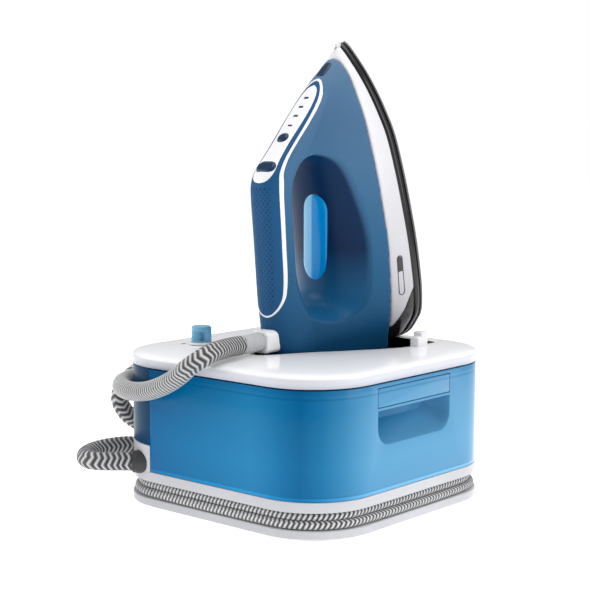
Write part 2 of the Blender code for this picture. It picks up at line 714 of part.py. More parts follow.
# ---------------------------------------------------------------- works inside the base
def boiler_parts(steel, brass, black):
    radius, low, high = BOILER_RADIUS, BOILER_TOP - BOILER_HEIGHT, BOILER_TOP
    profile = [(0, low), (radius - 0.006, low), (radius, low + 0.006), (radius, high - 0.012),
               (radius - 0.004, high - 0.005), (radius - 0.012, high), (0, high)]
    boiler = turned("boiler", profile, steel, steps=28)
    boiler.location = (BOILER_X, 0, 0)
    valve_low, valve_radius = high + GAP, STEAM_VALVE_RADIUS
    valve = turned("steam_valve", [
        (0, valve_low), (valve_radius, valve_low), (valve_radius, valve_low + 0.006),
        (0.0055, valve_low + 0.0075), (0.0055, valve_low + 0.0095), (0, valve_low + 0.0095),
    ], brass, steps=16)
    valve.location = (*STEAM_VALVE_PLACE, 0)
    stat = turned("thermostat", [
        (0, valve_low), (0.0075, valve_low), (0.0075, valve_low + 0.0045), (0, valve_low + 0.0045),
    ], black, steps=16)
    stat.location = (0.0200, 0.0180, 0)


def rear_works(black, steel, green):
    x, deck = REAR_MIDDLE_X, Z_INSIDE
    profile = [
        (0, 0), (0.0130, 0), (PUMP_RADIUS, 0.002), (PUMP_RADIUS, 0.034), (0.0090, 0.036),
        (0.0090, PUMP_LENGTH), (0, PUMP_LENGTH),
    ]
    place(turned("pump", profile, steel, steps=20), (x, PUMP_BACK_Y, PUMP_Z), (0, 1, 0))
    low, high = (x - 0.0160, -0.0450, deck + 0.036), (x - 0.0144, 0.0450, deck + 0.076)
    board = box("control_board", low, high, green)
    for name, y, z, size in (("relay", -0.020, 0.050, 0.009), ("choke", 0.012, 0.056, 0.011)):
        part = box("board_" + name, (x - 0.0150, y - size, deck + z - size / 2),
                   (x - 0.0060, y + size, deck + z + size / 2))
        combine(board, part, "UNION")
    inner = PORT_BORE - GAP
    cup = [
        (0, PORT_BACK), (inner + 0.0031, PORT_BACK), (inner + 0.0031, 0.0030), (inner, 0.0030),
        (inner, PORT_BACK - 0.0050), (0, PORT_BACK - 0.0050),
    ]
    where = TANK_PORT + Vector((-2 * GAP, 0, 0))
    place(turned("water_port", cup, black, steps=20), where, (-1, 0, 0))


def inner_pipes(clear, copper):
    """The water pipe from the port to the pump, and the steam pipe from the valve to the gland."""
    start = TANK_PORT + Vector((-PORT_BACK - 3 * GAP, 0, 0))
    x, end_y = REAR_MIDDLE_X, PUMP_BACK_Y + PUMP_LENGTH + GAP
    tube("water_pipe", [
        start, start + Vector((-0.004, 0, 0)), (x - 0.0020, 0.086, start.z),
        (x - 0.003, 0.074, start.z + 0.001), (x, 0.050, PUMP_Z), (x, end_y, PUMP_Z),
    ], 0.0050, clear, 0.010, 2)
    inward = -HOSE_GLAND_AXIS.normalized()
    gland_back = HOSE_GLAND_PLACE + inward * (HOSE_GLAND_DEPTH + GAP)
    valve_x, valve_y = STEAM_VALVE_PLACE
    side = (valve_x - STEAM_VALVE_RADIUS - 2 * GAP, valve_y, BOILER_TOP + 0.0035)
    tube("steam_pipe", [
        side, (side[0] - 0.0064, -0.0130, side[2]), (-0.0480, -0.0250, side[2] - 0.004),
        (-0.0640, -0.0420, side[2] - 0.014), (-0.0740, -0.0600, side[2] - 0.030),
        (-0.0750, -0.0800, 0.0430), (-0.0725, -0.0960, 0.0365), gland_back + inward * 0.0030,
        gland_back,
    ], 0.0046, copper, 0.010, 2)


# ---------------------------------------------------------------- iron
def iron_frame():
    frame = bpy.data.objects.new("iron_frame", None)
    bpy.context.scene.collection.objects.link(frame)
    frame.location = IRON_HEEL
    frame.rotation_euler = (math.radians(90) + LEAN, 0, 0)
    return frame


def panel_frame(parent):
    """On the sloping control panel: y down its slope to the tip, z straight out of it."""
    knee, nose = iron_point(0, 162, 127), iron_point(0, 229, 42)
    slope = (nose - knee).normalized()
    frame = bpy.data.objects.new("panel_frame", None)
    bpy.context.scene.collection.objects.link(frame)
    frame.parent = parent
    frame.location = knee
    frame.rotation_euler = (math.atan2(slope.z, slope.y), 0, 0)
    return frame


def sole_loop(inset, z, heel=0.0, steps=2):
    half = [iron_point(x, y) for x, y in SOLE_LINE]
    loop = inset_loop(mirrored(smooth_line(half, steps)), inset)
    return [Vector((p.x, max(p.y, heel), z)) for p in loop]


def waist_loop(inset, lower=0.0, steps=2):
    half = [iron_point(x, y, z) for x, y, z in WAIST_LINE]
    loop = inset_loop(mirrored(smooth_line(half, steps)), inset)
    return [Vector((p.x, p.y, p.z - lower)) for p in loop]


def soleplate(look, frame):
    loops = [
        sole_loop(0.0022, 0), sole_loop(0.0008, 0.0004), sole_loop(0, 0.0014),
        sole_loop(0.0002, SOLE_THICKNESS),
    ]
    return loft("soleplate", loops, look, frame)


def heat_shield(look, frame):
    low, high = SOLE_THICKNESS + GAP, SHIELD_TOP
    loops = [sole_loop(0.0016, low), sole_loop(0.0008, low + 0.0012), sole_loop(0.0018, high)]
    return loft("heat_shield", loops, look, frame)


def skirt_ring(name, look, frame):
    low = SHIELD_TOP + GAP
    bottom, top = sole_loop(0.0020, low), waist_loop(0, GAP)
    middle = [(a + b) / 2 for a, b in zip(bottom, top)]
    swell = inset_loop(middle, -0.0010)
    inner = [inset_loop(loop, SKIRT_WALL) for loop in (top, swell, bottom)]
    return loft(name, [bottom, swell, top] + inner, look, frame, ring=True)


def heel_wedge(name, frame, shift):
    """What the black heel piece takes from the skirt: a wedge seen from the side."""
    profile = [(-30, 0), (53, 0), (50, 9), (43, 15), (30, 23), (19, 34), (19, 50), (-30, 50)]
    points = [iron_point(0, y + shift, z) for y, z in profile]
    side = SOLE_HALF_WIDTH + 0.02
    return loft(name, [[Vector((x, p.y, p.z)) for p in points] for x in (-side, side)], None, frame)


def skirt(white, black, frame):
    front = skirt_ring("skirt", white, frame)
    combine(front, heel_wedge("skirt_heel_cut", frame, 0.15))
    heel = skirt_ring("heel_guard", black, frame)
    combine(heel, heel_wedge("heel_keep", frame, -0.15), "INTERSECT")


def body_section(row, inset, lower):
    """One closed section across the body, from the waist over the handle and back."""
    y, waist, waist_z, handle, top = row
    shoulder = min(BODY_SHOULDER, waist_z + (top - waist_z) * 0.70)
    inset = inset / MM
    half = [(waist - inset, waist_z - lower)]
    for share in (0.33, 0.67):
        swell = 1.6 * math.sin(math.pi * share) * (waist - handle) / 30
        x = waist + (handle - waist) * share + swell - inset
        half.append((x, waist_z + (shoulder - waist_z) * share))
    for turn in (0, 25, 48, 70, 90):
        x = max(0.0, math.cos(math.radians(turn))) ** (2 / BODY_ROUND)
        z = math.sin(math.radians(turn)) ** (2 / BODY_ROUND)
        half.append((max(handle - inset, 0.3) * x, shoulder + (top - inset - shoulder) * z))
    heel_share = max(0.0, min(1.0, (45 - y) / 55))
    loop = []
    for x, z in half + [(-x, z) for x, z in reversed(half[:-1])]:
        point = iron_point(x, y, z)
        point.y += math.tan(LEAN) * (point.z - waist_z * IRON_SCALE.z) * heel_share
        loop.append(point)
    return loop


def body_loft(name, frame, look=None, inset=0.0, rows=BODY_LINE, lower=0.0):
    return loft(name, [body_section(row, inset, lower) for row in rows], look, frame)


def handle_core(name, frame, inset):
    """The handle less a skin of the given depth, reaching past it below and at its ends."""
    rows = [(0.0,) + BODY_LINE[3][1:]] + inlay_rows()
    return body_loft(name, frame, inset=inset, rows=rows, lower=30)


def plan_outline(line, offset=0.0, steps=1):
    """Closed plan outline of an inlay from its half outline."""
    half = [iron_point(x, y) for y, x in line]
    loop = inset_loop(mirrored(smooth_line(half, steps)), -offset)
    return [(p.x, p.y) for p in loop]


def inlay_prism(name, frame, line, offset=0.0):
    low, high = iron_point(0, 0, 17).z, iron_point(0, 0, 150).z
    return prism(name, plan_outline(line, offset), low, high, None, frame)


def inlay_rows():
    return [row for row in BODY_LINE if row[0] >= 26]


def inlay(name, look, frame, line, shrink=0.0, inner=None, inner_grow=0.0):
    """A skin of the handle inside an outline, with an opening where inner is given."""
    skin = body_loft(name, frame, look, rows=inlay_rows())
    combine(skin, inlay_prism(name + "_edge", frame, line, -shrink), "INTERSECT")
    if inner:
        combine(skin, inlay_prism(name + "_open", frame, inner, inner_grow))
    combine(skin, handle_core(name + "_core", frame, INLAY_DEPTH))
    return skin


def inlay_seat(name, frame, line):
    seat = inlay_prism(name, frame, line, GAP)
    combine(seat, handle_core(name + "_core", frame, INLAY_DEPTH + GAP))
    return seat


def finger_hole(frame):
    """The cutter of the hole under the handle: crowned floor, rounded handle underside."""
    outline = smooth_line([(y, z) for y, z in HOLE_LINE], 2, closed=True)
    loops = []
    for share in (-1.9, -1, -0.7, -0.35, 0.35, 0.7, 1, 1.9):
        blend = min(1.0, share * share)
        loop = []
        for y, z in outline:
            inner_y = HOLE_INNER_MIDDLE[0] + (y - HOLE_FLANK_MIDDLE[0]) * HOLE_INNER_SHARE[0]
            inner_z = HOLE_INNER_MIDDLE[1] + (z - HOLE_FLANK_MIDDLE[1]) * HOLE_INNER_SHARE[1]
            flank = 19 + 30 * max(0.0, min(1.0, (105 - z) / 71))
            x = 62 * math.copysign(1, share) if abs(share) > 1.5 else flank * share
            loop.append(iron_point(x, inner_y + (y - inner_y) * blend, inner_z + (z - inner_z) * blend))
        loops.append(loop)
    return loft("finger_hole", loops, None, frame)


def iron_body(look, frame):
    body = body_loft("iron_body", frame, look)
    combine(body, finger_hole(frame))
    combine(body, inlay_seat("handle_seat", frame, TRIM_LINE))
    combine(body, inlay_seat("nose_seat", frame, NOSE_LINE))
    chamber = sole_loop(0, 0.010, steps=1)
    roof = [Vector((p.x * 0.66, 0.022 + p.y * 0.68, iron_point(0, 0, 43).z)) for p in chamber]
    floor = [Vector((p.x * 0.76, 0.016 + p.y * 0.76, 0.010)) for p in chamber]
    combine(body, loft("body_chamber", [floor, roof], None, frame))
    combine(body, lens_solid("lens_seat", frame, None, ((0, 0.0100),), GAP))
    combine(body, connector_bore(frame))
    combine(body, trigger_slot(frame))
    return body


def stadium(half_length, radius, steps=5):
    """Outline of a bar with round ends along y."""
    run = half_length - radius
    return arc((0, run), radius, 0, 180, steps * 2) + arc((0, -run), radius, 180, 360, steps * 2)


def lens_solid(name, frame, look, levels, grow=0.0):
    """A pill-shaped solid with a flat foot and a top that follows the hole's crowned floor."""
    middle = iron_point(0, 103, 68)
    outline = stadium(LENS_HALF[1] + grow, LENS_HALF[0] + grow)
    foot = middle.z - LENS_DEPTH - grow
    loops = [[Vector((x, middle.y + y, foot)) for x, y in outline]]
    for inset, height in levels:
        shrink_x, shrink_y = 1 - inset / LENS_HALF[0], 1 - inset / LENS_HALF[1]
        points = [(x * shrink_x, y * shrink_y) for x, y in outline]
        loops.append([
            Vector((x, middle.y + y, middle.z + height - HOLE_CROWN * x * x)) for x, y in points
        ])
    return loft(name, loops, look, frame)


def badge_lens(look, frame):
    levels = ((0, 0.0002), (0.0012, 0.0010), (0.0060, 0.0012), (0.0115, 0.0013))
    return lens_solid("badge_lens", frame, look, levels)


def capsule(half_x, half_y, steps=3):
    run = half_x - half_y
    return arc((run, 0), half_y, -90, 90, steps * 2) + arc((-run, 0), half_y, 90, 270, steps * 2)


def panel_prism(name, half, along, low, high, frame, look=None, grow=0.0):
    outline = [(x, y + along) for x, y in capsule(half[0] + grow, half[1] + grow)]
    return prism(name, outline, low, high, look, frame)


def button(name, half, along, frame, look):
    """A domed key with a straight foot under the panel."""
    outline = capsule(*half)
    low, high = -BUTTON_FOOT, BUTTON_LIFT

    def ring(scale, z):
        return [(x * scale, y * scale + along, z) for x, y in outline]
    return loft(name, [ring(1, low), ring(1, high - 0.0008), ring(0.90, high)], look, frame)


def panel_parts(white, navy, light, green, frame, slope):
    panel = inlay("control_panel", white, frame, PANEL_LINE)
    for name, half, along in (("mode", MODE_HALF, MODE_ALONG), ("settings", SETTINGS_HALF, SETTINGS_ALONG)):
        combine(panel, panel_prism(name + "_opening", half, along, -0.02, 0.02, slope, grow=GAP))
        button(name + "_button", half, along, slope, navy)
    bar = box("light_guide", (-0.0030, LIGHTS_ALONG[0] - 0.003, -0.0042),
              (0.0030, LIGHTS_ALONG[-1] + 0.003, -0.0026), light, slope)
    x, y = LIGHT_HALF
    room_x, room_y = x + GAP, y + GAP
    for along in LIGHTS_ALONG:
        low, high = (-room_x, along - room_y, -0.02), (room_x, along + room_y, 0.02)
        combine(panel, box("light_opening", low, high, None, slope))
        low, high = (-x, along - y, -0.0030), (x, along + y, 0.0004)
        combine(bar, box("light_prong", low, high, None, slope), "UNION")
    half, end = 0.0065, LIGHTS_ALONG[-1] + 0.006
    box("iron_board", (-half, 0.0040, -0.0068), (half, end, -0.0056), green, slope)
    return panel


def board_pocket(slope):
    """Room in the handle for the board, the light guide and the keys' feet."""
    low = (-0.0104, -0.0005, -0.0100)
    return box("board_pocket", low, (0.0104, LIGHTS_ALONG[-1] + 0.0080, 0.0010), None, slope)


def in_iron(thing, frame, where, axis):
    """Place a piece given in world terms under the iron's frame."""
    unturn = Matrix.Rotation(math.radians(90) + LEAN, 3, "X").inverted()
    thing.parent = frame
    return place(thing, unturn @ (Vector(where) - IRON_HEEL), unturn @ Vector(axis))


def connector_bore(frame):
    radius = CONNECTOR_RADIUS + GAP
    bore = turned("connector_bore", [(0, -0.030), (radius, -0.030), (radius, 0.03), (0, 0.03)])
    return in_iron(bore, frame, CONNECTOR_PLACE, (0, -1, 0))


def hose_fittings(white, grey, frame):
    """The connector in the heel of the handle, and the ribbed relief of the hose behind it."""
    back, front = -0.0180, 0.0090
    r = CONNECTOR_RADIUS
    sleeve = turned("hose_connector", [
        (0, back), (r - 0.001, back), (r, back + 0.001), (r, front - 0.0015), (r - 0.0015, front),
        (0, front),
    ], white)
    in_iron(sleeve, frame, CONNECTOR_PLACE, (0, -1, 0))
    reach = (RELIEF_TIP - CONNECTOR_PLACE).length - front - GAP
    ribs = 3
    step = (reach - 0.002) / ribs
    profile = [(0, 0), (RELIEF_RADIUS, 0)]
    for i in range(ribs):
        start = 0.001 + step * i
        size = RELIEF_RADIUS - 0.0006 * i / ribs
        groove = size - 0.0008
        profile += [
            (size, start + step * 0.55), (groove, start + step * 0.60), (groove, start + step * 0.98),
        ]
    profile += [(RELIEF_RADIUS - 0.0006, reach), (0, reach)]
    relief = turned("strain_relief", profile, grey, steps=14)
    in_iron(relief, frame, CONNECTOR_PLACE + Vector((0, -front - GAP, 0)), (0, -1, 0))


def trigger_slot(frame):
    low, high = iron_point(0, 118, 98), iron_point(0, 156, 112)
    side = TRIGGER_HALF + GAP
    return box("trigger_slot", (-side, low.y, low.z), (side, high.y, high.z), None, frame)


def steam_trigger(look, steel, frame):
    low, high = iron_point(0, 118.5, 99.5), iron_point(0, 155.5, 107.5)
    side = TRIGGER_HALF
    box("steam_trigger", (-side, low.y, low.z), (side, high.y, high.z), look, frame, bevel=0.0018)
    spring_low, spring_high = high.z + GAP, iron_point(0, 0, 112).z - GAP
    turned("trigger_spring", [
        (0.0016, spring_low), (0.0028, spring_low), (0.0028, spring_high), (0.0016, spring_high),
    ], steel, frame, steps=12).location = (0, (low.y + high.y) / 2, 0)


def heating_block(look, frame):
    low, high = SHIELD_TOP + GAP, 0.0260
    loops = []
    for z, inset in ((low, 0.0120), (high - 0.004, 0.0120), (high, 0.0170)):
        loops.append([Vector((p.x * 0.90, 0.014 + p.y * 0.82, z)) for p in sole_loop(inset, z)])
    return loft("heating_block", loops, look, frame)


# ---------------------------------------------------------------- hose and mains cord
# Routes are points on each centre line, in order from the iron to the base.
HOSE_FRONT = [
    RELIEF_TIP + Vector((0, -GAP, 0)), RELIEF_TIP + Vector((0, -0.0060, 0)),
    (0.0010, -0.0920, 0.1345), (0.0034, -0.1030, 0.1343), (0.0052, -0.1145, 0.1336),
    (0.0040, -0.1250, 0.1300), (-0.0035, -0.1310, 0.1235), (-0.0140, -0.1312, 0.1158),
    (-0.0260, -0.1302, 0.1090), (-0.0385, -0.1290, 0.1035), (-0.0515, -0.1278, 0.0992),
    (-0.0640, -0.1266, 0.0966), (-0.0780, -0.1241, 0.0952), (-0.0925, -0.1181, 0.0949),
    (-0.1066, -0.1071, 0.0949), (-0.1172, -0.0930, 0.0949), (-0.1236, -0.0765, 0.0949),
    (-0.1256, -0.0580, 0.0946), (-0.1256, -0.0300, 0.0930), (-0.1256, 0.0000, 0.0890),
    (-0.1256, 0.0300, 0.0825), (-0.1256, 0.0600, 0.0735), (-0.1258, 0.0900, 0.0625),
    (-0.1266, 0.1200, 0.0500), (-0.1290, 0.1480, 0.0400),
]
HOSE_COIL_MIDDLE = (-0.2120, 0.1750)
HOSE_COIL_RADIUS = 0.0800
HOSE_REAR = [
    (-0.2720, 0.1000, 0.0081), (-0.2520, 0.0820, 0.0081), (-0.2260, 0.0640, 0.0081),
    (-0.2000, 0.0450, 0.0085), (-0.1800, 0.0230, 0.0135), (-0.1680, 0.0000, 0.0240),
    (-0.1610, -0.0200, 0.0350), (-0.1580, -0.0380, 0.0440), (-0.1600, -0.0540, 0.0560),
    (-0.1620, -0.0600, 0.0700), (-0.1600, -0.0540, 0.0840), (-0.1550, -0.0400, 0.0940),
    (-0.1490, -0.0200, 0.0990), (-0.1450, 0.0000, 0.0960), (-0.1430, 0.0180, 0.0870),
    (-0.1420, 0.0320, 0.0720), (-0.1415, 0.0380, 0.0540), (-0.1410, 0.0330, 0.0360),
    (-0.1400, 0.0180, 0.0220), (-0.1375, -0.0020, 0.0150), (-0.1345, -0.0250, 0.0170),
    (-0.1315, -0.0500, 0.0260), (-0.1300, -0.0750, 0.0350), (-0.1325, -0.0980, 0.0370),
    (-0.1330, -0.1150, 0.0365), (-0.1250, -0.1310, 0.0360), (-0.1100, -0.1368, 0.0356),
]


def hose_end():
    return HOSE_GLAND_PLACE + HOSE_GLAND_AXIS.normalized() * (HOSE_GLAND_REACH + GAP)


def coil_ring(name, middle, radius, diameter, layers, look):
    """The outer shape of a round coil lying on the floor."""
    low, high = GAP, diameter * layers + 2 * GAP
    outer, inner = radius + diameter / 2, radius - diameter / 2
    ease = diameter * 0.25
    profile = [
        (inner, low + ease), (inner, high - ease), (inner + ease, high), (outer - ease, high),
        (outer, high - ease), (outer, low + ease), (outer - ease, low), (inner + ease, low),
    ]
    ring = turned(name, profile, look, steps=28)
    ring.location = (*middle, 0)
    return ring


def hose_gland(look):
    reach, radius = HOSE_GLAND_REACH, HOSE_GLAND_RADIUS
    profile = [
        (0, -HOSE_GLAND_DEPTH), (radius, -HOSE_GLAND_DEPTH), (radius, reach - 0.001),
        (radius - 0.001, reach), (0, reach),
    ]
    place(turned("hose_gland", profile, look, steps=20), HOSE_GLAND_PLACE, HOSE_GLAND_AXIS)


def hose(look):
    tube("hose_front", HOSE_FRONT, HOSE_DIAMETER, look, HOSE_DIAMETER, 2)
    coil_ring("hose_coil", HOSE_COIL_MIDDLE, HOSE_COIL_RADIUS, HOSE_DIAMETER, 2, look)
    straight = HOSE_GLAND_AXIS.normalized() * 0.0070
    rear = HOSE_REAR + [hose_end() + straight, hose_end()]
    tube("hose_rear", rear, HOSE_DIAMETER, look, HOSE_DIAMETER, 2)


def mains_winding(look):
    """Two turns of the mains cord in the groove, one on the other, as one ring."""
    radius = CORD_DIAMETER / 2
    low = Z_GROOVE + GAP
    middle = low + CORD_DIAMETER
    lift = math.sqrt(CORD_DIAMETER ** 2 - (CORD_UPPER_INSET - CORD_LOWER_INSET) ** 2)
    top = low + CORD_DIAMETER + lift
    profile = [
        (CORD_LOWER_INSET + radius, low), (CORD_LOWER_INSET - radius, low),
        (CORD_LOWER_INSET - radius, middle), (CORD_UPPER_INSET - radius, middle + 0.001),
        (CORD_UPPER_INSET - radius, top), (CORD_UPPER_INSET + radius, top),
        (CORD_UPPER_INSET + radius, low + lift), (CORD_LOWER_INSET + radius, low + lift - 0.001),
    ]
    loops = [level(base_outline(-inset), z) for inset, z in profile]
    return loft("mains_winding", loops, look, ring=True)


def mains_gland(look):
    reach, radius = MAINS_GLAND_REACH, MAINS_GLAND_RADIUS
    profile = [
        (0, -0.0080), (radius, -0.0080), (radius, 0.0030), (radius - 0.0008, 0.0040),
        (CORD_DIAMETER / 2 + 0.0006, reach), (0, reach),
    ]
    place(turned("mains_gland", profile, look, steps=16), MAINS_GLAND_PLACE, MAINS_GLAND_AXIS)


MAINS_LEAD = [
    (-0.0925, 0.1500, 0.0385), (-0.0915, 0.1570, 0.0345), (-0.0840, 0.1650, 0.0280),
    (-0.0700, 0.1660, 0.0215), (-0.0530, 0.1600, 0.0165), (-0.0360, 0.1490, 0.0135),
    (-0.0190, 0.1360, 0.0120), (-0.0030, 0.1245, 0.0115), (0.0080, 0.1195, 0.0115),
]
MAINS_TAIL = [
    (-0.1090, 0.1000, 0.0145), (-0.1085, 0.1150, 0.0100), (-0.1060, 0.1330, 0.0055),
    (-0.0990, 0.1530, 0.0036), (-0.0880, 0.1720, 0.0036), (-0.0710, 0.1850, 0.0036),
    (-0.0500, 0.1890, 0.0038), (-0.0330, 0.1890, 0.0040),
]


def mains_leads(look):
    outward = MAINS_GLAND_AXIS.normalized()
    tip = MAINS_GLAND_PLACE + outward * (MAINS_GLAND_REACH + GAP)
    tube("mains_lead", [tip, tip + outward * 0.0060] + MAINS_LEAD, CORD_DIAMETER, look, sides=2)
    tube("mains_tail", MAINS_TAIL + [PLUG_PLACE + Vector((-GAP, 0, 0))], CORD_DIAMETER, look, sides=2)


def mains_plug(look):
    """A two-pin plug lying on its side, with its cord low on its back end."""
    length, half_width, height = 0.0380, 0.0175, 0.0250
    x, y = PLUG_PLACE.x, PLUG_PLACE.y
    low = GAP
    loops = []
    for share, width, top in ((0, 0.30, 0.52), (0.18, 0.42, 0.62), (0.55, 0.95, 1.0), (1, 1, 1)):
        reach = half_width * width
        outline = rounded_box(y - reach, y + reach, low, low + height * top, 0.0030, 2)
        loops.append([(x + length * share, a, b) for a, b in outline])
    plug = loft("mains_plug", loops, look)
    for side in (-1, 1):
        profile = [(0, -0.002), (0.0024, -0.002), (0.0024, 0.019), (0, 0.019)]
        pin = turned("plug_pin", profile, steps=12)
        place(pin, (x + length, y + side * 0.0095, low + height / 2), (1, 0, 0))
        combine(plug, pin, "UNION")
    return plug


# ---------------------------------------------------------------- the whole object
def build():
    clear_scene()
    white = material("white_plastic", (0.85, 0.85, 0.87), 0.22)
    blue = material("blue_plastic", (0.03, 0.12, 0.27), 0.3)
    navy = material("navy_plastic", (0.01, 0.03, 0.12), 0.35)
    clear_blue = material("clear_blue", (0.0, 0.18, 0.42), 0.1, alpha=0.75)
    light_blue = material("light_blue", (0.05, 0.30, 0.70), 0.1)
    black = material("black_plastic", (0.02, 0.02, 0.022), 0.3)
    rubber = material("rubber", (0.03, 0.03, 0.03), 0.8)
    steel = material("steel", (0.6, 0.6, 0.62), 0.3, 1.0)
    alloy = material("sole_metal", (0.75, 0.75, 0.77), 0.25, 1.0)
    brass = material("brass", (0.7, 0.5, 0.2), 0.3, 1.0)
    green = material("board", (0.02, 0.2, 0.08), 0.5)
    braid = material("braid", (0.4, 0.4, 0.42), 0.8)
    grey = material("grey_plastic", (0.55, 0.56, 0.58), 0.5)

    base_plate(white)
    cord_drum(black)
    lower_housing(white)
    rear_cover(blue)
    top_cover(white)
    dock_well(black)
    inner_housing(black)
    feet(rubber)
    base_screws(steel)
    lock_parts(light_blue, white, steel)
    water_tank(clear_blue)
    tank_cover(clear_blue)
    tank_flap(clear_blue)
    tank_valve(black)
    boiler_parts(steel, brass, black)
    rear_works(black, steel, green)
    inner_pipes(clear_blue, brass)

    frame = iron_frame()
    slope = panel_frame(frame)
    soleplate(alloy, frame)
    heat_shield(black, frame)
    skirt(white, black, frame)
    body = iron_body(blue, frame)
    combine(body, board_pocket(slope))
    inlay("trim_ring", white, frame, TRIM_LINE, inner=TRIM_LINE, inner_grow=-TRIM_WIDTH)
    inlay("grip_cover", navy, frame, TRIM_LINE, shrink=TRIM_WIDTH + GAP, inner=PANEL_LINE,
          inner_grow=GAP)
    inlay("nose_cap", navy, frame, NOSE_LINE)
    panel_parts(white, navy, light_blue, green, frame, slope)
    badge_lens(light_blue, frame)
    hose_fittings(white, grey, frame)
    steam_trigger(navy, steel, frame)
    heating_block(alloy, frame)

    hose_gland(grey)
    hose(braid)
    mains_winding(braid)
    mains_gland(black)
    mains_leads(braid)
    mains_plug(black)


build()
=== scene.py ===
"""Steam generator iron: the looks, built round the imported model.

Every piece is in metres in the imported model's frame: +Z up, origin on the floor under the base,
-Y the long front face, +X the face that the water tank pulls out of.
Iron frame: x across, y from heel to tip along the sole, z from the sole up to the handle.
"""

import math

import bmesh
import bpy
from mathutils import Matrix, Vector
from mathutils.bvhtree import BVHTree


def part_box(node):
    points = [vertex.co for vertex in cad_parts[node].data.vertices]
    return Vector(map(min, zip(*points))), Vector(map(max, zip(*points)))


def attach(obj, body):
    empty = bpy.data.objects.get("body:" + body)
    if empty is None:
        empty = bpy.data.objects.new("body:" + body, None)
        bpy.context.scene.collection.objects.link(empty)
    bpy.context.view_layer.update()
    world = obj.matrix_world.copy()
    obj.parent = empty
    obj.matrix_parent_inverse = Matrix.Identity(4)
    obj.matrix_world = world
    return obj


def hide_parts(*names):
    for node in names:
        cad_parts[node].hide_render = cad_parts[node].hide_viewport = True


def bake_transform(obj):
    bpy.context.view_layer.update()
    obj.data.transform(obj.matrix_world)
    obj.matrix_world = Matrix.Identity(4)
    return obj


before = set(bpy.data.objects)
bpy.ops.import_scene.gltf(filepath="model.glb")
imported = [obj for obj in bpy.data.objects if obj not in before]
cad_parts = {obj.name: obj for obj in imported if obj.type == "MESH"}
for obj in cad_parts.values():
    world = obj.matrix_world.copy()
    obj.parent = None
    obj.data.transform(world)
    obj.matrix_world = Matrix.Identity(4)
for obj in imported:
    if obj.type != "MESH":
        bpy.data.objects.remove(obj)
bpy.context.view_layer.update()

# ---------------------------------------------------------------- sizes, from the frame
GAP = 0.0003
MM = 0.001


def low(node):
    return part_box(node)[0]


def high(node):
    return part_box(node)[1]


HALF = high("water_tank").x
CORNER_RADIUS = 0.054
CORNER_STEPS = 16
WALL = 0.0025
PLATE_LIP = 0.0008
PLATE_SHELF = 0.0200
DECK_SHELF = 0.0240
TANK_WALL = 0.0024
Z_PLATE = low("base_plate").z
Z_GROOVE = high("base_plate").z
Z_DECK = low("lower_housing").z
Z_TANK = low("water_tank").z
Z_STEP = high("lower_housing").z
Z_LID = low("top_cover").z
LID_HEIGHT = 0.0113
LID_BAND = 0.0063
Z_TOP = Z_LID + LID_HEIGHT
REAR_X = low("water_tank").x
SLOT_HALF = 0.0680
SLOT_FRONT_Y = -0.0620
SLOT_BACK_Y = 0.1000
INNER_HALF = SLOT_HALF + 0.0040
GRIP_WIDTH = 0.0925
GRIP_HEIGHT = 0.0272
GRIP_DEPTH = 0.0220
GRIP_TOP = Z_LID - 0.0215
GRIP_SHIFT_Y = -0.0040
FLAP_LOW, FLAP_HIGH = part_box("tank_flap")

LEAN = math.radians(10.4)
IRON_HEEL = Vector((0.0, 0.0971, 0.1252))
SOLE_THICKNESS = 0.0029
SHIELD_TOP = 0.0095
SKIRT_WALL = 0.0024
TRIM_WIDTH = 0.0015
BODY_SHOULDER = 105.0
BODY_ROUND = 2.6
HOLE_CROWN = 10.0

HOSE_DIAMETER = 0.0155
CORD_DIAMETER = 0.0066
CORD_PITCH = 0.0038
CORD_LOWER_INSET = 0.0040
CORD_UPPER_INSET = 0.0065
RELIEF_TIP = Vector((0, -0.0770, 0.1344))
CONNECTOR_PLACE = Vector((0, -0.0470, 0.1346))
CONNECTOR_RADIUS = 0.0090
CONNECTOR_REACH = 0.0090
RIB_DEPTH = 0.0006
HOSE_GLAND_PLACE = Vector((-0.0790, -0.1130, 0.0355))
HOSE_GLAND_AXIS = Vector((-0.752, -0.659, 0.0)).normalized()
HOSE_GLAND_REACH = 0.0060
HOSE_GLAND_RADIUS = 0.0095
MAINS_GLAND_PLACE = Vector((-0.0849, 0.1112, 0.0400))
MAINS_GLAND_AXIS = Vector((-0.20, 0.98, 0.0)).normalized()
MAINS_GLAND_REACH = 0.0260
MAINS_GLAND_RADIUS = 0.0058
MAINS_COLLAR = 0.0040
PLUG_PLACE = Vector((-0.0250, 0.1890, 0.0040))

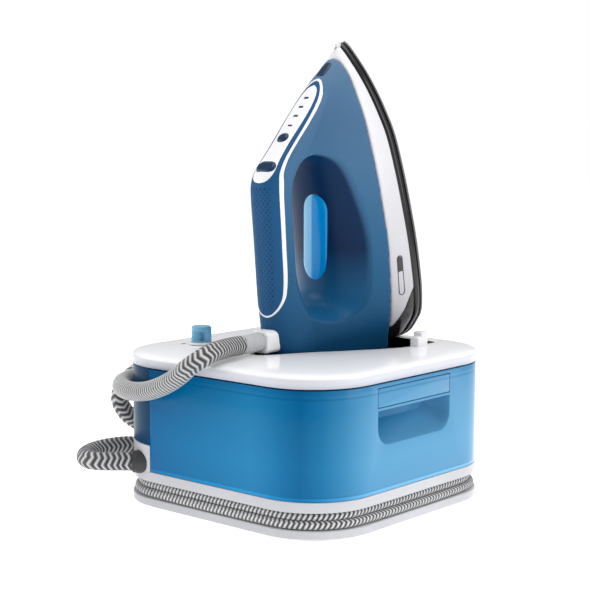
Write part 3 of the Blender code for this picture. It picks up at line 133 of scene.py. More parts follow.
# Iron outlines in millimetres.
SOLE_LINE = [
    (0, 0), (24, 0.5), (37, 6.5), (45.5, 16), (51.6, 25.7), (54.6, 44), (54.9, 66), (54, 90),
    (52, 113), (48.3, 145), (42.5, 178), (36.8, 194.5), (30, 210.5), (21.5, 226.5),
    (11, 242.5), (3, 252.8), (0, 255),
]
WAIST_LINE = [
    (0, 1, 33.5), (24, 2, 33.5), (35, 7, 33.5), (40, 15, 33.5), (44.3, 28, 33.5),
    (47.3, 48, 33.5), (49, 72, 33.5), (50, 95, 33.5), (49.2, 112, 33.4), (45.5, 145, 32),
    (39.5, 178, 29.8), (35, 194, 27.8), (28.3, 210, 25.2), (19.5, 227, 21.6),
    (10, 238.5, 19.2), (3, 243.5, 18.6), (0, 244, 18.5),
]
BODY_LINE = [
    (-18.9, 25, 34, 13, 137), (-15.5, 31.5, 34, 16.4, 137), (-9, 36, 34, 18.2, 137),
    (0, 38, 34, 18.8, 137), (12, 39.6, 34, 19, 137), (26, 43.4, 34, 19, 137),
    (45, 46.8, 34, 19, 137), (60, 48.2, 34, 19, 136.6), (78, 49.4, 34, 19, 135),
    (95, 49.9, 34, 19, 133.3), (112, 49.1, 33.9, 19, 131.6), (130, 47.4, 33.2, 19, 130),
    (148, 45, 32.3, 18.8, 128.5), (158, 43.3, 31.8, 18.3, 127), (165, 42, 31.3, 17.8, 123.4),
    (172, 40.6, 30.8, 17, 116.2), (183, 38, 29.8, 16, 101.5), (196, 34.2, 28, 15.2, 84.5),
    (209, 28.6, 25.8, 14, 67.5), (220, 23.2, 23.6, 12, 53.2), (228, 18.6, 21.9, 9.6, 42.8),
    (234, 14.2, 20.7, 7, 34.4), (239, 9.4, 19.7, 4.6, 27), (243, 4, 19.2, 2, 20.6),
]
HOLE_LINE = [
    (181, 75), (171, 58), (137, 51), (78, 50.5), (45, 57), (37, 78), (46, 104), (73, 116),
    (110, 114.5), (152, 109), (174, 95),
]
HOLE_FLANK_MIDDLE = (107.0, 83.0)
HOLE_INNER_MIDDLE = (107.0, 85.5)
HOLE_INNER_SHARE = (0.86, 0.54)
TRIM_LINE = [
    (53.5, 0), (55, 5.5), (59.6, 11), (67, 14.6), (77, 15.9), (110, 16.4), (150, 16.6),
    (160, 16.2), (169, 14.8), (179, 13.5), (188, 13.4), (198, 13.6), (209, 13.2),
    (217, 11.8), (224, 8.6), (228.6, 4), (230, 0),
]
PANEL_LINE = [
    (161, 0), (161.7, 4.8), (164.2, 8.6), (169, 10.2), (177, 9.2), (186, 8.6), (195, 9),
    (204, 9.4), (212, 9), (219, 7.4), (223.6, 4.2), (225.5, 0),
]
NOSE_LINE = [(231.5, 0), (231.8, 4), (236, 4.6), (240, 3.2), (240.6, 0)]


# ---------------------------------------------------------------- camera, light, floor
CAMERA_PLACE = (0.77502, -0.89732, 0.30635)
CAMERA_AZIMUTH = math.radians(41.222)
CAMERA_PITCH = math.radians(6.684)
CAMERA_LENS = 88.56
ROOM_LIGHT = 0.45
BACKDROP_LIGHT = 1.0
SOFT_BOXES = [
    ("right_box", (1.5, 0.5, 0.9), (0, 0, 0.15), (1.0, 1.4), 11),
    ("left_box", (-1.3, -0.9, 0.8), (0, 0, 0.12), (0.9, 0.9), 8),
    ("top_box", (0.0, 0.1, 1.6), (0, 0, 0.1), (1.6, 1.6), 17),
]


def link(name, data):
    thing = bpy.data.objects.new(name, data)
    bpy.context.scene.collection.objects.link(thing)
    return thing


def add_camera():
    data = bpy.data.cameras.new("camera")
    data.sensor_width = 36
    data.lens = CAMERA_LENS
    camera = link("camera", data)
    camera.location = CAMERA_PLACE
    reach = math.cos(CAMERA_PITCH)
    ahead = Vector((
        -math.sin(CAMERA_AZIMUTH) * reach, math.cos(CAMERA_AZIMUTH) * reach, -math.sin(CAMERA_PITCH)
    ))
    camera.rotation_euler = ahead.to_track_quat("-Z", "Y").to_euler()
    bpy.context.scene.camera = camera


def add_lights():
    """White behind the object, a softer white all round it, and three soft boxes."""
    world = bpy.data.worlds.new("studio")
    world.use_nodes = True
    nodes, links = world.node_tree.nodes, world.node_tree.links
    path, strength = nodes.new("ShaderNodeLightPath"), nodes.new("ShaderNodeMapRange")
    strength.inputs["To Min"].default_value = ROOM_LIGHT
    strength.inputs["To Max"].default_value = BACKDROP_LIGHT
    nodes["Background"].inputs["Color"].default_value = (1, 1, 1, 1)
    links.new(path.outputs["Is Camera Ray"], strength.inputs["Value"])
    links.new(strength.outputs["Result"], nodes["Background"].inputs["Strength"])
    bpy.context.scene.world = world
    bpy.context.scene.view_settings.view_transform = "Standard"
    for name, where, target, size, power in SOFT_BOXES:
        data = bpy.data.lights.new(name, "AREA")
        data.shape = "RECTANGLE"
        data.size, data.size_y = size
        data.energy = power
        light = link(name, data)
        light.location = where
        light.rotation_euler = (Vector(target) - Vector(where)).to_track_quat("-Z", "Y").to_euler()


def add_floor():
    shape = bmesh.new()
    bmesh.ops.create_grid(shape, x_segments=1, y_segments=1, size=6)
    mesh = bpy.data.meshes.new("floor")
    shape.to_mesh(mesh)
    shape.free()
    floor = link("floor", mesh)
    floor.location.z = -0.0005
    look = bpy.data.materials.new("floor")
    look.use_nodes = True
    for socket, value in (
        ("Base Color", (0.93, 0.93, 0.93, 1)), ("Roughness", 0.9), ("Specular IOR Level", 0.0),
        ("Emission Color", (1, 1, 1, 1)), ("Emission Strength", 0.60),
    ):
        look.node_tree.nodes["Principled BSDF"].inputs[socket].default_value = value
    mesh.materials.append(look)


# ---------------------------------------------------------------- geometry helpers
def mesh_from(name, shape):
    bmesh.ops.recalc_face_normals(shape, faces=shape.faces)
    mesh = bpy.data.meshes.new(name)
    shape.to_mesh(mesh)
    shape.free()
    return mesh


def new_object(name, mesh, smooth=35):
    """Add an object, smooth but for its sharp edges and its flat end faces."""
    thing = link(name, mesh)
    mesh.shade_smooth()
    mesh.set_sharp_from_angle(angle=math.radians(smooth))
    for face in mesh.polygons:
        if len(face.vertices) > 8:
            face.use_smooth = False
    return thing


def loft(name, loops, ring=False, smooth=35):
    """Join loops of equal count: capped at both ends, or closed as a ring."""
    shape = bmesh.new()
    rows = [[shape.verts.new(point) for point in loop] for loop in loops]
    pairs = list(zip(rows, rows[1:]))
    if ring:
        pairs.append((rows[-1], rows[0]))
    else:
        shape.faces.new(rows[0])
        shape.faces.new(rows[-1])
    for one, two in pairs:
        for i in range(len(one)):
            j = (i + 1) % len(one)
            shape.faces.new((one[i], one[j], two[j], two[i]))
    return new_object(name, mesh_from(name, shape), smooth)


def level(outline, z):
    return [(x, y, z) for x, y in outline]


def prism(name, outline, z0, z1):
    return loft(name, [level(outline, z0), level(outline, z1)])


def turned(name, profile, steps=48, smooth=35):
    """A solid turned about its own Z from (radius, z) points; a zero radius closes it."""
    shape = bmesh.new()
    rings = []
    for radius, z in profile:
        count = 1 if radius == 0 else steps
        angles = [math.tau * i / steps for i in range(count)]
        rings.append([shape.verts.new((radius * math.cos(a), radius * math.sin(a), z)) for a in angles])
    pairs = list(zip(rings, rings[1:]))
    if profile[0][0] != 0:
        pairs.append((rings[-1], rings[0]))
    for one, two in pairs:
        for i in range(steps):
            j = (i + 1) % steps
            square = [one[i % len(one)], one[j % len(one)], two[j % len(two)], two[i % len(two)]]
            corners = list(dict.fromkeys(square))
            if len(corners) > 2:
                shape.faces.new(corners)
    return new_object(name, mesh_from(name, shape), smooth)


def box(name, low_corner, high_corner):
    (x0, y0, z0), (x1, y1, z1) = low_corner, high_corner
    return prism(name, [(x0, y0), (x1, y0), (x1, y1), (x0, y1)], z0, z1)


def fillet(profile, radius, closed=True):
    """Round every corner of a polygon of 2-D points."""
    points = [Vector(p) for p in profile]
    made = []
    count = len(points)
    for i, corner in enumerate(points):
        if not closed and i in (0, count - 1):
            made.append(tuple(corner))
            continue
        before, after = points[i - 1], points[(i + 1) % count]
        reach = min(radius, 0.45 * (before - corner).length, 0.45 * (after - corner).length)
        start = corner + (before - corner).normalized() * reach
        end = corner + (after - corner).normalized() * reach
        for t in (0, 1 / 3, 2 / 3, 1):
            made.append(tuple(start * (1 - t) ** 2 + corner * 2 * t * (1 - t) + end * t * t))
    return made


def arc(centre, radius, start, end, steps):
    angles = [math.radians(start + (end - start) * i / steps) for i in range(steps + 1)]
    return [(centre[0] + radius * math.cos(a), centre[1] + radius * math.sin(a)) for a in angles]


def rounded_box(x0, x1, y0, y1, radius, steps=4):
    points = []
    for x, y, start in ((x1, y0, -90), (x1, y1, 0), (x0, y1, 90), (x0, y0, 180)):
        inward_x = math.copysign(radius, x0 + x1 - 2 * x)
        inward_y = math.copysign(radius, y0 + y1 - 2 * y)
        points += arc((x + inward_x, y + inward_y), radius, start, start + 90, steps)
    return points


def base_outline(offset=0.0, steps=CORNER_STEPS):
    side = HALF + offset
    return rounded_box(-side, side, -side, side, CORNER_RADIUS + offset, steps)


def clip_x(outline, limit, keep_above):
    kept = []
    for (x0, y0), (x1, y1) in zip(outline, outline[1:] + outline[:1]):
        inside0 = (x0 >= limit) == keep_above
        inside1 = (x1 >= limit) == keep_above
        if inside0:
            kept.append((x0, y0))
        if inside0 != inside1:
            share = (limit - x0) / (x1 - x0)
            kept.append((limit, y0 + (y1 - y0) * share))
    return kept


def smooth_line(points, steps, closed=False):
    """Centripetal Catmull-Rom curve through the points, with a number of steps per span."""
    pts = [Vector(p) for p in points]
    if closed:
        ends = [pts[-1]] + pts + [pts[0], pts[1]]
    else:
        ends = [pts[0] * 2 - pts[1]] + pts + [pts[-1] * 2 - pts[-2]]
    made = []
    for a, b, c, d in zip(ends, ends[1:], ends[2:], ends[3:]):
        t1 = (b - a).length ** 0.5
        t2 = t1 + (c - b).length ** 0.5
        t3 = t2 + (d - c).length ** 0.5
        for i in range(steps):
            t = t1 + (t2 - t1) * i / steps
            ab = a * ((t1 - t) / t1) + b * (t / t1)
            bc = b * ((t2 - t) / (t2 - t1)) + c * ((t - t1) / (t2 - t1))
            cd = c * ((t3 - t) / (t3 - t2)) + d * ((t - t2) / (t3 - t2))
            abc = ab * ((t2 - t) / t2) + bc * (t / t2)
            bcd = bc * ((t3 - t) / (t3 - t1)) + cd * ((t - t1) / (t3 - t1))
            made.append(abc * ((t2 - t) / (t2 - t1)) + bcd * ((t - t1) / (t2 - t1)))
    if not closed:
        made.append(pts[-1])
    return made


def mirrored(half):
    return half + [Vector((-p[0], *p[1:])) for p in reversed(half[1:-1])]


def inset_loop(loop, distance):
    """Move a closed loop inward in plan by a distance."""
    made = []
    area = sum(a[0] * b[1] - b[0] * a[1] for a, b in zip(loop, loop[1:] + loop[:1]))
    turn = math.copysign(1.0, area)
    for i, point in enumerate(loop):
        before, after = loop[i - 1], loop[(i + 1) % len(loop)]
        along = Vector((after[0] - before[0], after[1] - before[1])).normalized()
        inward = Vector((-along.y, along.x)) * turn * distance
        made.append(Vector((point[0] + inward.x, point[1] + inward.y, *point[2:])))
    return made


def modifier(thing, kind, **settings):
    made = thing.modifiers.new(kind.lower(), kind)
    for key, value in settings.items():
        setattr(made, key, value)
    return made


def apply_modifiers(thing):
    bpy.context.view_layer.update()
    graph = bpy.context.evaluated_depsgraph_get()
    mesh = bpy.data.meshes.new_from_object(thing.evaluated_get(graph), depsgraph=graph)
    thing.modifiers.clear()
    thing.data = mesh


def combine(thing, others, operation="DIFFERENCE"):
    """Apply Booleans with the other objects at once, and remove them."""
    for other in others:
        other.data.transform(other.matrix_world)
        other.matrix_world = Matrix.Identity(4)
        modifier(thing, "BOOLEAN", operation=operation, solver="EXACT", object=other)
        apply_modifiers(thing)
        bpy.data.objects.remove(other)
    return thing


def ease(thing, width, segments=2, angle=35):
    modifier(thing, "BEVEL", width=width, segments=segments, limit_method="ANGLE",
             angle_limit=math.radians(angle), use_clamp_overlap=True)
    apply_modifiers(thing)
    thing.data.shade_smooth()
    thing.data.set_sharp_from_angle(angle=math.radians(45))
    return thing


def move(thing, matrix):
    thing.data.transform(matrix)
    return thing


def place(thing, where, axis):
    turn = Vector(axis).to_track_quat("Z", "Y").to_matrix().to_4x4()
    return move(thing, Matrix.Translation(where) @ turn)


def use(thing, body, look, slot, *nodes):
    """Give a piece its finish and its body, and hide what it stands for."""
    thing.data.materials.clear()
    thing.data.materials.append(look)
    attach(thing, body)
    if nodes:
        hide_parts(*nodes)
    return thing


# ---------------------------------------------------------------- materials
class Look:
    """A material with one Principled shader and a few words to add nodes to it."""

    def __init__(self, name, **constants):
        self.material = bpy.data.materials.new(name)
        self.material.use_nodes = True
        self.tree = self.material.node_tree
        self.shader = self.tree.nodes["Principled BSDF"]
        for socket, value in constants.items():
            self.shader.inputs[socket.replace("_", " ")].default_value = value

    def node(self, kind, inputs, output=0, **settings):
        """Add a node with its inputs linked or set, and return one of its outputs."""
        made = self.tree.nodes.new(kind)
        for key, value in settings.items():
            setattr(made, key, value)
        for socket, value in inputs.items():
            if isinstance(value, bpy.types.NodeSocket):
                self.tree.links.new(value, made.inputs[socket])
            else:
                made.inputs[socket].default_value = value
        return made.outputs[output]

    def math(self, operation, first, second=0.0):
        return self.node("ShaderNodeMath", {0: first, 1: second}, operation=operation)

    def place(self):
        return self.node("ShaderNodeTexCoord", {}, "Object")

    def axis(self, letter):
        return self.node("ShaderNodeSeparateXYZ", {"Vector": self.place()}, letter)

    def mark(self, name):
        """A measure that the mesh carries on its points."""
        return self.node("ShaderNodeAttribute", {}, "Fac", attribute_name=name)

    def noise(self, scale, detail):
        inputs = {"Vector": self.place(), "Scale": scale, "Detail": detail}
        return self.node("ShaderNodeTexNoise", inputs, "Fac")

    def share(self, value, start, end):
        """How far a value has come from start to end, from 0 to 1."""
        inputs = {"Value": value, "From Min": start, "From Max": end}
        return self.node("ShaderNodeMapRange", inputs, "Result")

    def between(self, share, start, end):
        """The value that lies a share of the way from start to end."""
        return self.node("ShaderNodeMapRange", {"Value": share, "To Min": start, "To Max": end}, "Result")

    def ramp(self, factor, stops):
        colour = self.node("ShaderNodeValToRGB", {"Fac": factor}, "Color")
        elements = colour.node.color_ramp.elements
        while len(elements) < len(stops):
            elements.new(0.5)
        for element, (position, rgb) in zip(elements, stops):
            element.position = position
            element.color = (*rgb, 1)
        return colour

    def mix(self, factor, first, second, blend="MIX"):
        inputs = {"Factor": factor, "A": first, "B": second}
        return self.node("ShaderNodeMix", inputs, "Result", data_type="RGBA", blend_type=blend)

    def finish(self, colour, grain, gloss=None, patches=None):
        """Join up the colour, the fine grain (scale, detail, depth) and the uneven gloss."""
        self.tree.links.new(colour, self.shader.inputs["Base Color"])
        if gloss:
            rough = self.between(self.noise(*patches), *gloss)
            self.tree.links.new(rough, self.shader.inputs["Roughness"])
        scale, detail, depth = grain
        return self.bump(self.noise(scale, detail), depth)

    def bump(self, height, depth):
        normal = self.node("ShaderNodeBump", {"Height": height, "Distance": depth, "Strength": 1.0})
        self.tree.links.new(normal, self.shader.inputs["Normal"])
        return self.material


def shade(colour, factor):
    return tuple(min(1.0, c * factor) for c in colour)


def linear(*display):
    """A colour given in display values from 0 to 255, as a shader takes it."""
    return tuple(c / 255 / 12.92 if c <= 10 else ((c / 255 + 0.055) / 1.055) ** 2.4 for c in display)


def plastic(name, colour, roughness=0.25, gloss=0.3, grain=0.00002):
    """Moulded plastic: a faint flow of tone, uneven gloss and a fine moulded grain."""
    look = Look(name, Specular_IOR_Level=gloss, IOR=1.5)
    flow = look.ramp(look.noise(14, 2), [(0.3, shade(colour, 0.96)), (0.7, shade(colour, 1.04))])
    return look.finish(flow, (900, 2, grain), (roughness * 0.85, roughness * 1.15), (60, 4))


def metal(name, colour, roughness):
    """Metal with a fine brushed line along one direction."""
    look = Look(name, Metallic=1.0)
    stretched = look.node("ShaderNodeMapping", {"Vector": look.place(), "Scale": (40, 900, 900)})
    lines = look.node("ShaderNodeTexNoise", {"Vector": stretched, "Scale": 1.0, "Detail": 4.0}, "Fac")
    tone = look.ramp(lines, [(0.3, shade(colour, 0.88)), (0.7, shade(colour, 1.06))])
    look.tree.links.new(tone, look.shader.inputs["Base Color"])
    rough = look.between(lines, roughness * 0.7, roughness * 1.3)
    look.tree.links.new(rough, look.shader.inputs["Roughness"])
    return look.bump(lines, 0.00002)


def braid(name, stops):
    """Woven sheath: rows of yarn in zigzag bands, from the mesh's own braid measure."""
    look = Look(name, Roughness=0.75, Sheen_Weight=0.3, Sheen_Roughness=0.5)
    measure = look.mark("braid")
    ragged = look.math("MULTIPLY", look.noise(1500, 2), 0.22)
    band = look.math("FRACT", look.math("ADD", measure, ragged))
    look.tree.links.new(look.ramp(band, stops), look.shader.inputs["Base Color"])
    yarn = look.math("SINE", look.math("MULTIPLY", measure, math.tau * 3))
    return look.bump(look.math("ADD", yarn, look.noise(2500, 2)), 0.00015)


# Painted light and shade with the tank's blue: darker on the long -Y face, paler round the corner to the +X
# face where light falls and shines through; the last column brightens or dims each stop against the render's
# own lamps.
TANK_BLUE_AND_PAINTED_LIGHT = [
    (0.00, (0, 104, 160), 1.10), (0.24, (12, 122, 176), 1.05), (0.49, (34, 134, 186), 1.05),
    (0.60, (18, 122, 176), 1.05), (0.69, (0, 106, 160), 1.05), (0.76, (26, 124, 176), 1.0),
    (0.82, (62, 142, 190), 1.0), (0.88, (104, 172, 216), 0.95), (1.00, (112, 174, 216), 0.95),
]
# Painted shade over the tank's height: a multiplier that lightens a thin strip at the foot, dims the rest,
# and darkens thin bands just above the deck and just under the lid.
TANK_PAINTED_SHADE_RISE = [
    (0.0, (1.0, 1.0, 1.0)), (0.028, (1.0, 1.0, 1.0)), (0.036, (0.45, 0.60, 0.62)),
    (0.05, (0.62, 0.68, 0.70)),
    (0.30, (0.66, 0.74, 0.74)), (0.94, (0.60, 0.64, 0.66)), (0.955, (0.36, 0.48, 0.52)),
    (0.972, (0.62, 0.66, 0.68)), (1.0, (0.45, 0.55, 0.60)),
]


def tank_look():
    """Clear blue plastic over water, with painted light: deep on the long face, pale where light comes
    through, and painted shade in bands by the deck and the lid.
    """
    look = Look("tank_blue", Roughness=0.12, IOR=1.2)
    way = look.math("ADD", look.axis("X"), look.math("MULTIPLY", look.axis("Y"), 0.25))
    sweep = [(position, shade(linear(*colour), factor)) for position, colour, factor in TANK_BLUE_AND_PAINTED_LIGHT]
    body = look.ramp(look.share(way, -0.090, 0.130), sweep)
    rise = look.ramp(look.share(look.axis("Z"), Z_TANK, high("water_tank").z), TANK_PAINTED_SHADE_RISE)
    lifted = look.node("ShaderNodeVectorMath", {0: rise, 1: (1.12, 1.12, 1.12)}, operation="MULTIPLY")
    return look.finish(look.mix(1.0, body, lifted, "MULTIPLY"), (30, 1, 0.00003))


def lid_look():
    """Glossy white, with painted shade on the upright band round its edge, darkest at its foot."""
    look = Look("lid_white", Specular_IOR_Level=0.35, IOR=1.5)
    # Painted shade: white on top, greyer down the upright band.
    white = look.ramp(look.share(look.axis("Z"), Z_LID, Z_TOP), [
        (0.0, (0.42, 0.44, 0.50)), (0.40, (0.62, 0.63, 0.69)), (0.58, (0.68, 0.69, 0.74)),
        (0.70, (0.90, 0.90, 0.93)), (1.0, (0.92, 0.92, 0.94)),
    ])
    return look.finish(white, (900, 2, 0.00001), (0.10, 0.15), (60, 4))


def along_iron(look):
    return look.share(look.axis("Z"), 0.125, 0.375)


def skirt_look():
    """White that falls into shade towards the heel."""
    look = Look("skirt_white", Specular_IOR_Level=0.3, IOR=1.5)
    white = look.ramp(along_iron(look), [
        (0.0, (0.42, 0.42, 0.45)), (0.30, (0.56, 0.56, 0.59)), (0.60, (0.68, 0.68, 0.71)),
        (1.0, (0.76, 0.76, 0.78)),
    ])
    return look.finish(white, (900, 2, 0.00001), (0.2, 0.28), (60, 4))


def body_look():
    """Satin blue of the iron's sides, with painted light that makes it paler towards the tip and painted
    shade that makes it dark inside the finger hole.
    """
    look = Look("iron_blue", IOR=1.2)
    rise = along_iron(look)
    # Painted light: darker low down, paler up towards the tip, which stands highest.
    skin = look.ramp(rise, [
        (0.0, linear(18, 74, 114)), (0.25, linear(36, 88, 126)), (0.50, linear(58, 100, 136)),
        (0.75, linear(68, 104, 138)), (1.0, linear(90, 122, 152)),
    ])
    # Painted shade inside the finger hole.
    inside = look.ramp(rise, [
        (0.0, linear(28, 92, 136)), (0.18, linear(22, 84, 126)), (0.32, linear(8, 40, 76)),
        (0.60, linear(8, 46, 84)), (0.80, linear(12, 66, 106)), (1.0, linear(12, 66, 106)),
    ])
    blue = look.mix(look.mark("recess"), skin, inside)
    return look.finish(blue, (1400, 2, 0.000015), (0.28, 0.36), (80, 4))


def grip_look():
    """Soft navy grip with rows of small dark dots."""
    look = Look("grip_navy", IOR=1.2)
    navy = look.ramp(look.mark("dots"), [
        (0.0, linear(30, 82, 126)), (0.12, linear(30, 82, 126)), (0.35, linear(4, 12, 48)),
        (1.0, linear(2, 8, 36)),
    ])
    return look.finish(navy, (1500, 2, 0.00003), (0.36, 0.46), (90, 3))


def lens_look():
    """A painted reflection: pale blue reflected light over one side of the lens, meeting its deep blue in a
    line along the lens.
    """
    look = Look("lens_blue", Roughness=0.12, Specular_IOR_Level=0.25)
    # Painted reflection: the pale stops stand for reflected light, the rest is the lens's own blue.
    blue_and_painted_reflection = look.ramp(look.mark("across"), [
        (0.0, linear(150, 208, 245)), (0.38, linear(128, 196, 240)), (0.44, linear(0, 148, 222)),
        (1.0, linear(0, 138, 212)),
    ])
    return look.finish(blue_and_painted_reflection, (700, 2, 0.00001))


def rubber_look():
    look = Look("rubber", Base_Color=(0.02, 0.02, 0.02, 1))
    rough = look.between(look.noise(300, 3), 0.6, 0.85)
    look.tree.links.new(rough, look.shader.inputs["Roughness"])
    return look.bump(look.noise(900, 3), 0.00008)


WHITE = plastic("white_plastic", (0.84, 0.84, 0.86), 0.18, 0.3)
# Painted shade: a greyed copy of the white plastic for the base plate, the deck band and the rear step,
# which are as white as the rest.
PLATE_WHITE_PAINTED_SHADE = plastic("plate_white_painted_shade", (0.56, 0.56, 0.59), 0.22, 0.2)
LID_WHITE = lid_look()
SKIRT_WHITE = skirt_look()
BODY = body_look()
HOUSING = plastic("housing_blue", (0.003, 0.042, 0.105), 0.3, 0.08)
NAVY = plastic("navy_plastic", (0.004, 0.024, 0.070), 0.2, 0.3)
GRIP = grip_look()
TANK = tank_look()
KNOB = plastic("knob_blue", (0.16, 0.43, 0.64), 0.12, 0.35)
LENS = lens_look()
BLACK = plastic("black_plastic", (0.008, 0.008, 0.010), 0.32, 0.15)
GLOSS_BLACK = plastic("heel_black", (0.008, 0.008, 0.010), 0.16, 0.45)
GREY = plastic("grey_plastic", (0.47, 0.48, 0.49), 0.42, 0.1)
DARK_GREY = plastic("dark_grey", (0.06, 0.06, 0.065), 0.35, 0.2)
RUBBER = rubber_look()
STEEL = metal("steel", (0.58, 0.58, 0.60), 0.28)
SOLE = metal("sole_metal", (0.13, 0.13, 0.14), 0.3)
BRASS = metal("brass", (0.70, 0.50, 0.22), 0.30)
BOARD = plastic("board", (0.012, 0.14, 0.05), 0.4)
CLEAR = plastic("clear_pipe", (0.62, 0.66, 0.68), 0.25)
HOSE_LOOK = braid("hose_braid", [
    (0.0, (0.035, 0.035, 0.038)), (0.26, (0.05, 0.05, 0.053)), (0.36, (0.30, 0.30, 0.31)),
    (0.50, (0.62, 0.62, 0.62)), (0.62, (0.70, 0.70, 0.70)), (0.80, (0.27, 0.27, 0.28)),
    (0.95, (0.05, 0.05, 0.05)),
])
CORD_LOOK = braid("cord_braid", [
    (0.0, (0.03, 0.03, 0.033)), (0.22, (0.05, 0.05, 0.055)), (0.34, (0.55, 0.55, 0.56)),
    (0.50, (0.80, 0.80, 0.80)), (0.72, (0.74, 0.74, 0.75)), (0.90, (0.10, 0.10, 0.11)),
])


# ---------------------------------------------------------------- hose and mains cord
HOSE_FRONT = [
    RELIEF_TIP + Vector((0, -GAP, 0)), RELIEF_TIP + Vector((0, -0.0060, 0)),
    (0.0010, -0.0920, 0.1345), (0.0034, -0.1030, 0.1343), (0.0052, -0.1145, 0.1336),
    (0.0040, -0.1250, 0.1300), (-0.0035, -0.1310, 0.1235), (-0.0140, -0.1312, 0.1158),
    (-0.0260, -0.1302, 0.1090), (-0.0385, -0.1290, 0.1035), (-0.0515, -0.1278, 0.0992),
    (-0.0640, -0.1266, 0.0966), (-0.0780, -0.1241, 0.0952), (-0.0925, -0.1181, 0.0949),
    (-0.1066, -0.1071, 0.0949), (-0.1172, -0.0930, 0.0949), (-0.1236, -0.0765, 0.0949),
    (-0.1256, -0.0580, 0.0946), (-0.1256, -0.0300, 0.0930), (-0.1256, 0.0000, 0.0890),
    (-0.1256, 0.0300, 0.0825), (-0.1256, 0.0600, 0.0735), (-0.1258, 0.0900, 0.0625),
    (-0.1266, 0.1200, 0.0500), (-0.1290, 0.1480, 0.0400),
]
HOSE_COIL_MIDDLE = (-0.2120, 0.1750)
HOSE_COIL_RADIUS = 0.0800
HOSE_REAR = [
    (-0.2720, 0.1000, 0.0081), (-0.2520, 0.0820, 0.0081), (-0.2260, 0.0640, 0.0081),
    (-0.2000, 0.0450, 0.0085), (-0.1800, 0.0230, 0.0135), (-0.1680, 0.0000, 0.0240),
    (-0.1610, -0.0200, 0.0350), (-0.1580, -0.0380, 0.0440), (-0.1600, -0.0540, 0.0560),
    (-0.1620, -0.0600, 0.0700), (-0.1600, -0.0540, 0.0840), (-0.1550, -0.0400, 0.0940),
    (-0.1490, -0.0200, 0.0990), (-0.1450, 0.0000, 0.0960), (-0.1430, 0.0180, 0.0870),
    (-0.1420, 0.0320, 0.0720), (-0.1415, 0.0380, 0.0540), (-0.1410, 0.0330, 0.0360),
    (-0.1400, 0.0180, 0.0220), (-0.1375, -0.0020, 0.0150), (-0.1345, -0.0250, 0.0170),
    (-0.1315, -0.0500, 0.0260), (-0.1300, -0.0750, 0.0350), (-0.1325, -0.0980, 0.0370),
    (-0.1330, -0.1150, 0.0365), (-0.1250, -0.1310, 0.0360), (-0.1100, -0.1368, 0.0356),
]
MAINS_LEAD = [
    (-0.0925, 0.1500, 0.0385), (-0.0915, 0.1570, 0.0345), (-0.0840, 0.1650, 0.0280),
    (-0.0700, 0.1660, 0.0215), (-0.0530, 0.1600, 0.0165), (-0.0360, 0.1490, 0.0135),
    (-0.0190, 0.1360, 0.0120), (-0.0030, 0.1245, 0.0115), (0.0080, 0.1195, 0.0115),
]
MAINS_TAIL = [
    (-0.1090, 0.1000, 0.0145), (-0.1085, 0.1150, 0.0100), (-0.1060, 0.1330, 0.0055),
    (-0.0990, 0.1530, 0.0036), (-0.0880, 0.1720, 0.0036), (-0.0710, 0.1850, 0.0036),
    (-0.0500, 0.1890, 0.0038), (-0.0330, 0.1890, 0.0040),
]


def hose_coil_points():
    """One and a half turns: the first on top, sinking to the floor, the second under it."""
    floor_z = GAP + HOSE_DIAMETER / 2
    top_z = floor_z + HOSE_DIAMETER + GAP
    points = []
    for angle in range(0, 541, 20):
        sunk = max(0.0, min(1.0, (angle - 215) / 60))
        sunk = sunk * sunk * (3 - 2 * sunk)
        turn = math.radians(angle)
        points.append((
            HOSE_COIL_MIDDLE[0] + HOSE_COIL_RADIUS * math.cos(turn),
            HOSE_COIL_MIDDLE[1] + HOSE_COIL_RADIUS * math.sin(turn),
            top_z + (floor_z - top_z) * sunk,
        ))
    return points


def hose_route():
    end = HOSE_GLAND_PLACE + HOSE_GLAND_AXIS * (HOSE_GLAND_REACH + GAP)
    return HOSE_FRONT + hose_coil_points() + HOSE_REAR + [end + HOSE_GLAND_AXIS * 0.0070, end]


def outline_walk(inset):
    """Points once round the base, clockwise seen from above, starting on the +Y side."""
    side, radius = HALF - inset, CORNER_RADIUS - inset
    reach = side - radius
    points = []
    for x, y, start in ((1, 1, 90), (1, -1, 0), (-1, -1, -90), (-1, 1, -180)):
        points += arc((x * reach, y * reach), radius, start, start - 90, 5)
    return points


def mains_route():
    """From the gland into the groove, two turns round the base, and out to the plug."""
    tip = MAINS_GLAND_PLACE + MAINS_GLAND_AXIS * (MAINS_GLAND_REACH + GAP)
    lower_z = Z_GROOVE + GAP + CORD_DIAMETER / 2
    upper_z = lower_z + 0.0061
    points = [tip, tip + MAINS_GLAND_AXIS * 0.0060] + MAINS_LEAD
    points.append((0.0330, HALF - 0.0042, lower_z))
    points += [(x, y, lower_z) for x, y in outline_walk(CORD_LOWER_INSET)]
    points += [(-0.0400, HALF - 0.0048, lower_z + 0.0020), (-0.0150, HALF - 0.0062, upper_z - 0.0004)]
    points += [(x, y, upper_z) for x, y in outline_walk(CORD_UPPER_INSET)[:18]]
    points += [(-HALF + 0.0066, 0.0300, upper_z), (-HALF + 0.0068, 0.0800, upper_z - 0.0004)]
    return points + MAINS_TAIL + [PLUG_PLACE + Vector((-GAP, 0, 0))]


def resample(line, spacings):
    """Points along a line whose spacing is given by a function of the distance walked."""
    made, walked = [line[0].copy()], 0.0
    target = spacings(0.0)
    for a, b in zip(line, line[1:]):
        span = (b - a).length
        while walked + span >= target:
            made.append(a.lerp(b, (target - walked) / span))
            target += spacings(target)
        walked += span
    if (made[-1] - line[-1]).length < 0.0004:
        made.pop()
    made.append(line[-1].copy())
    return made


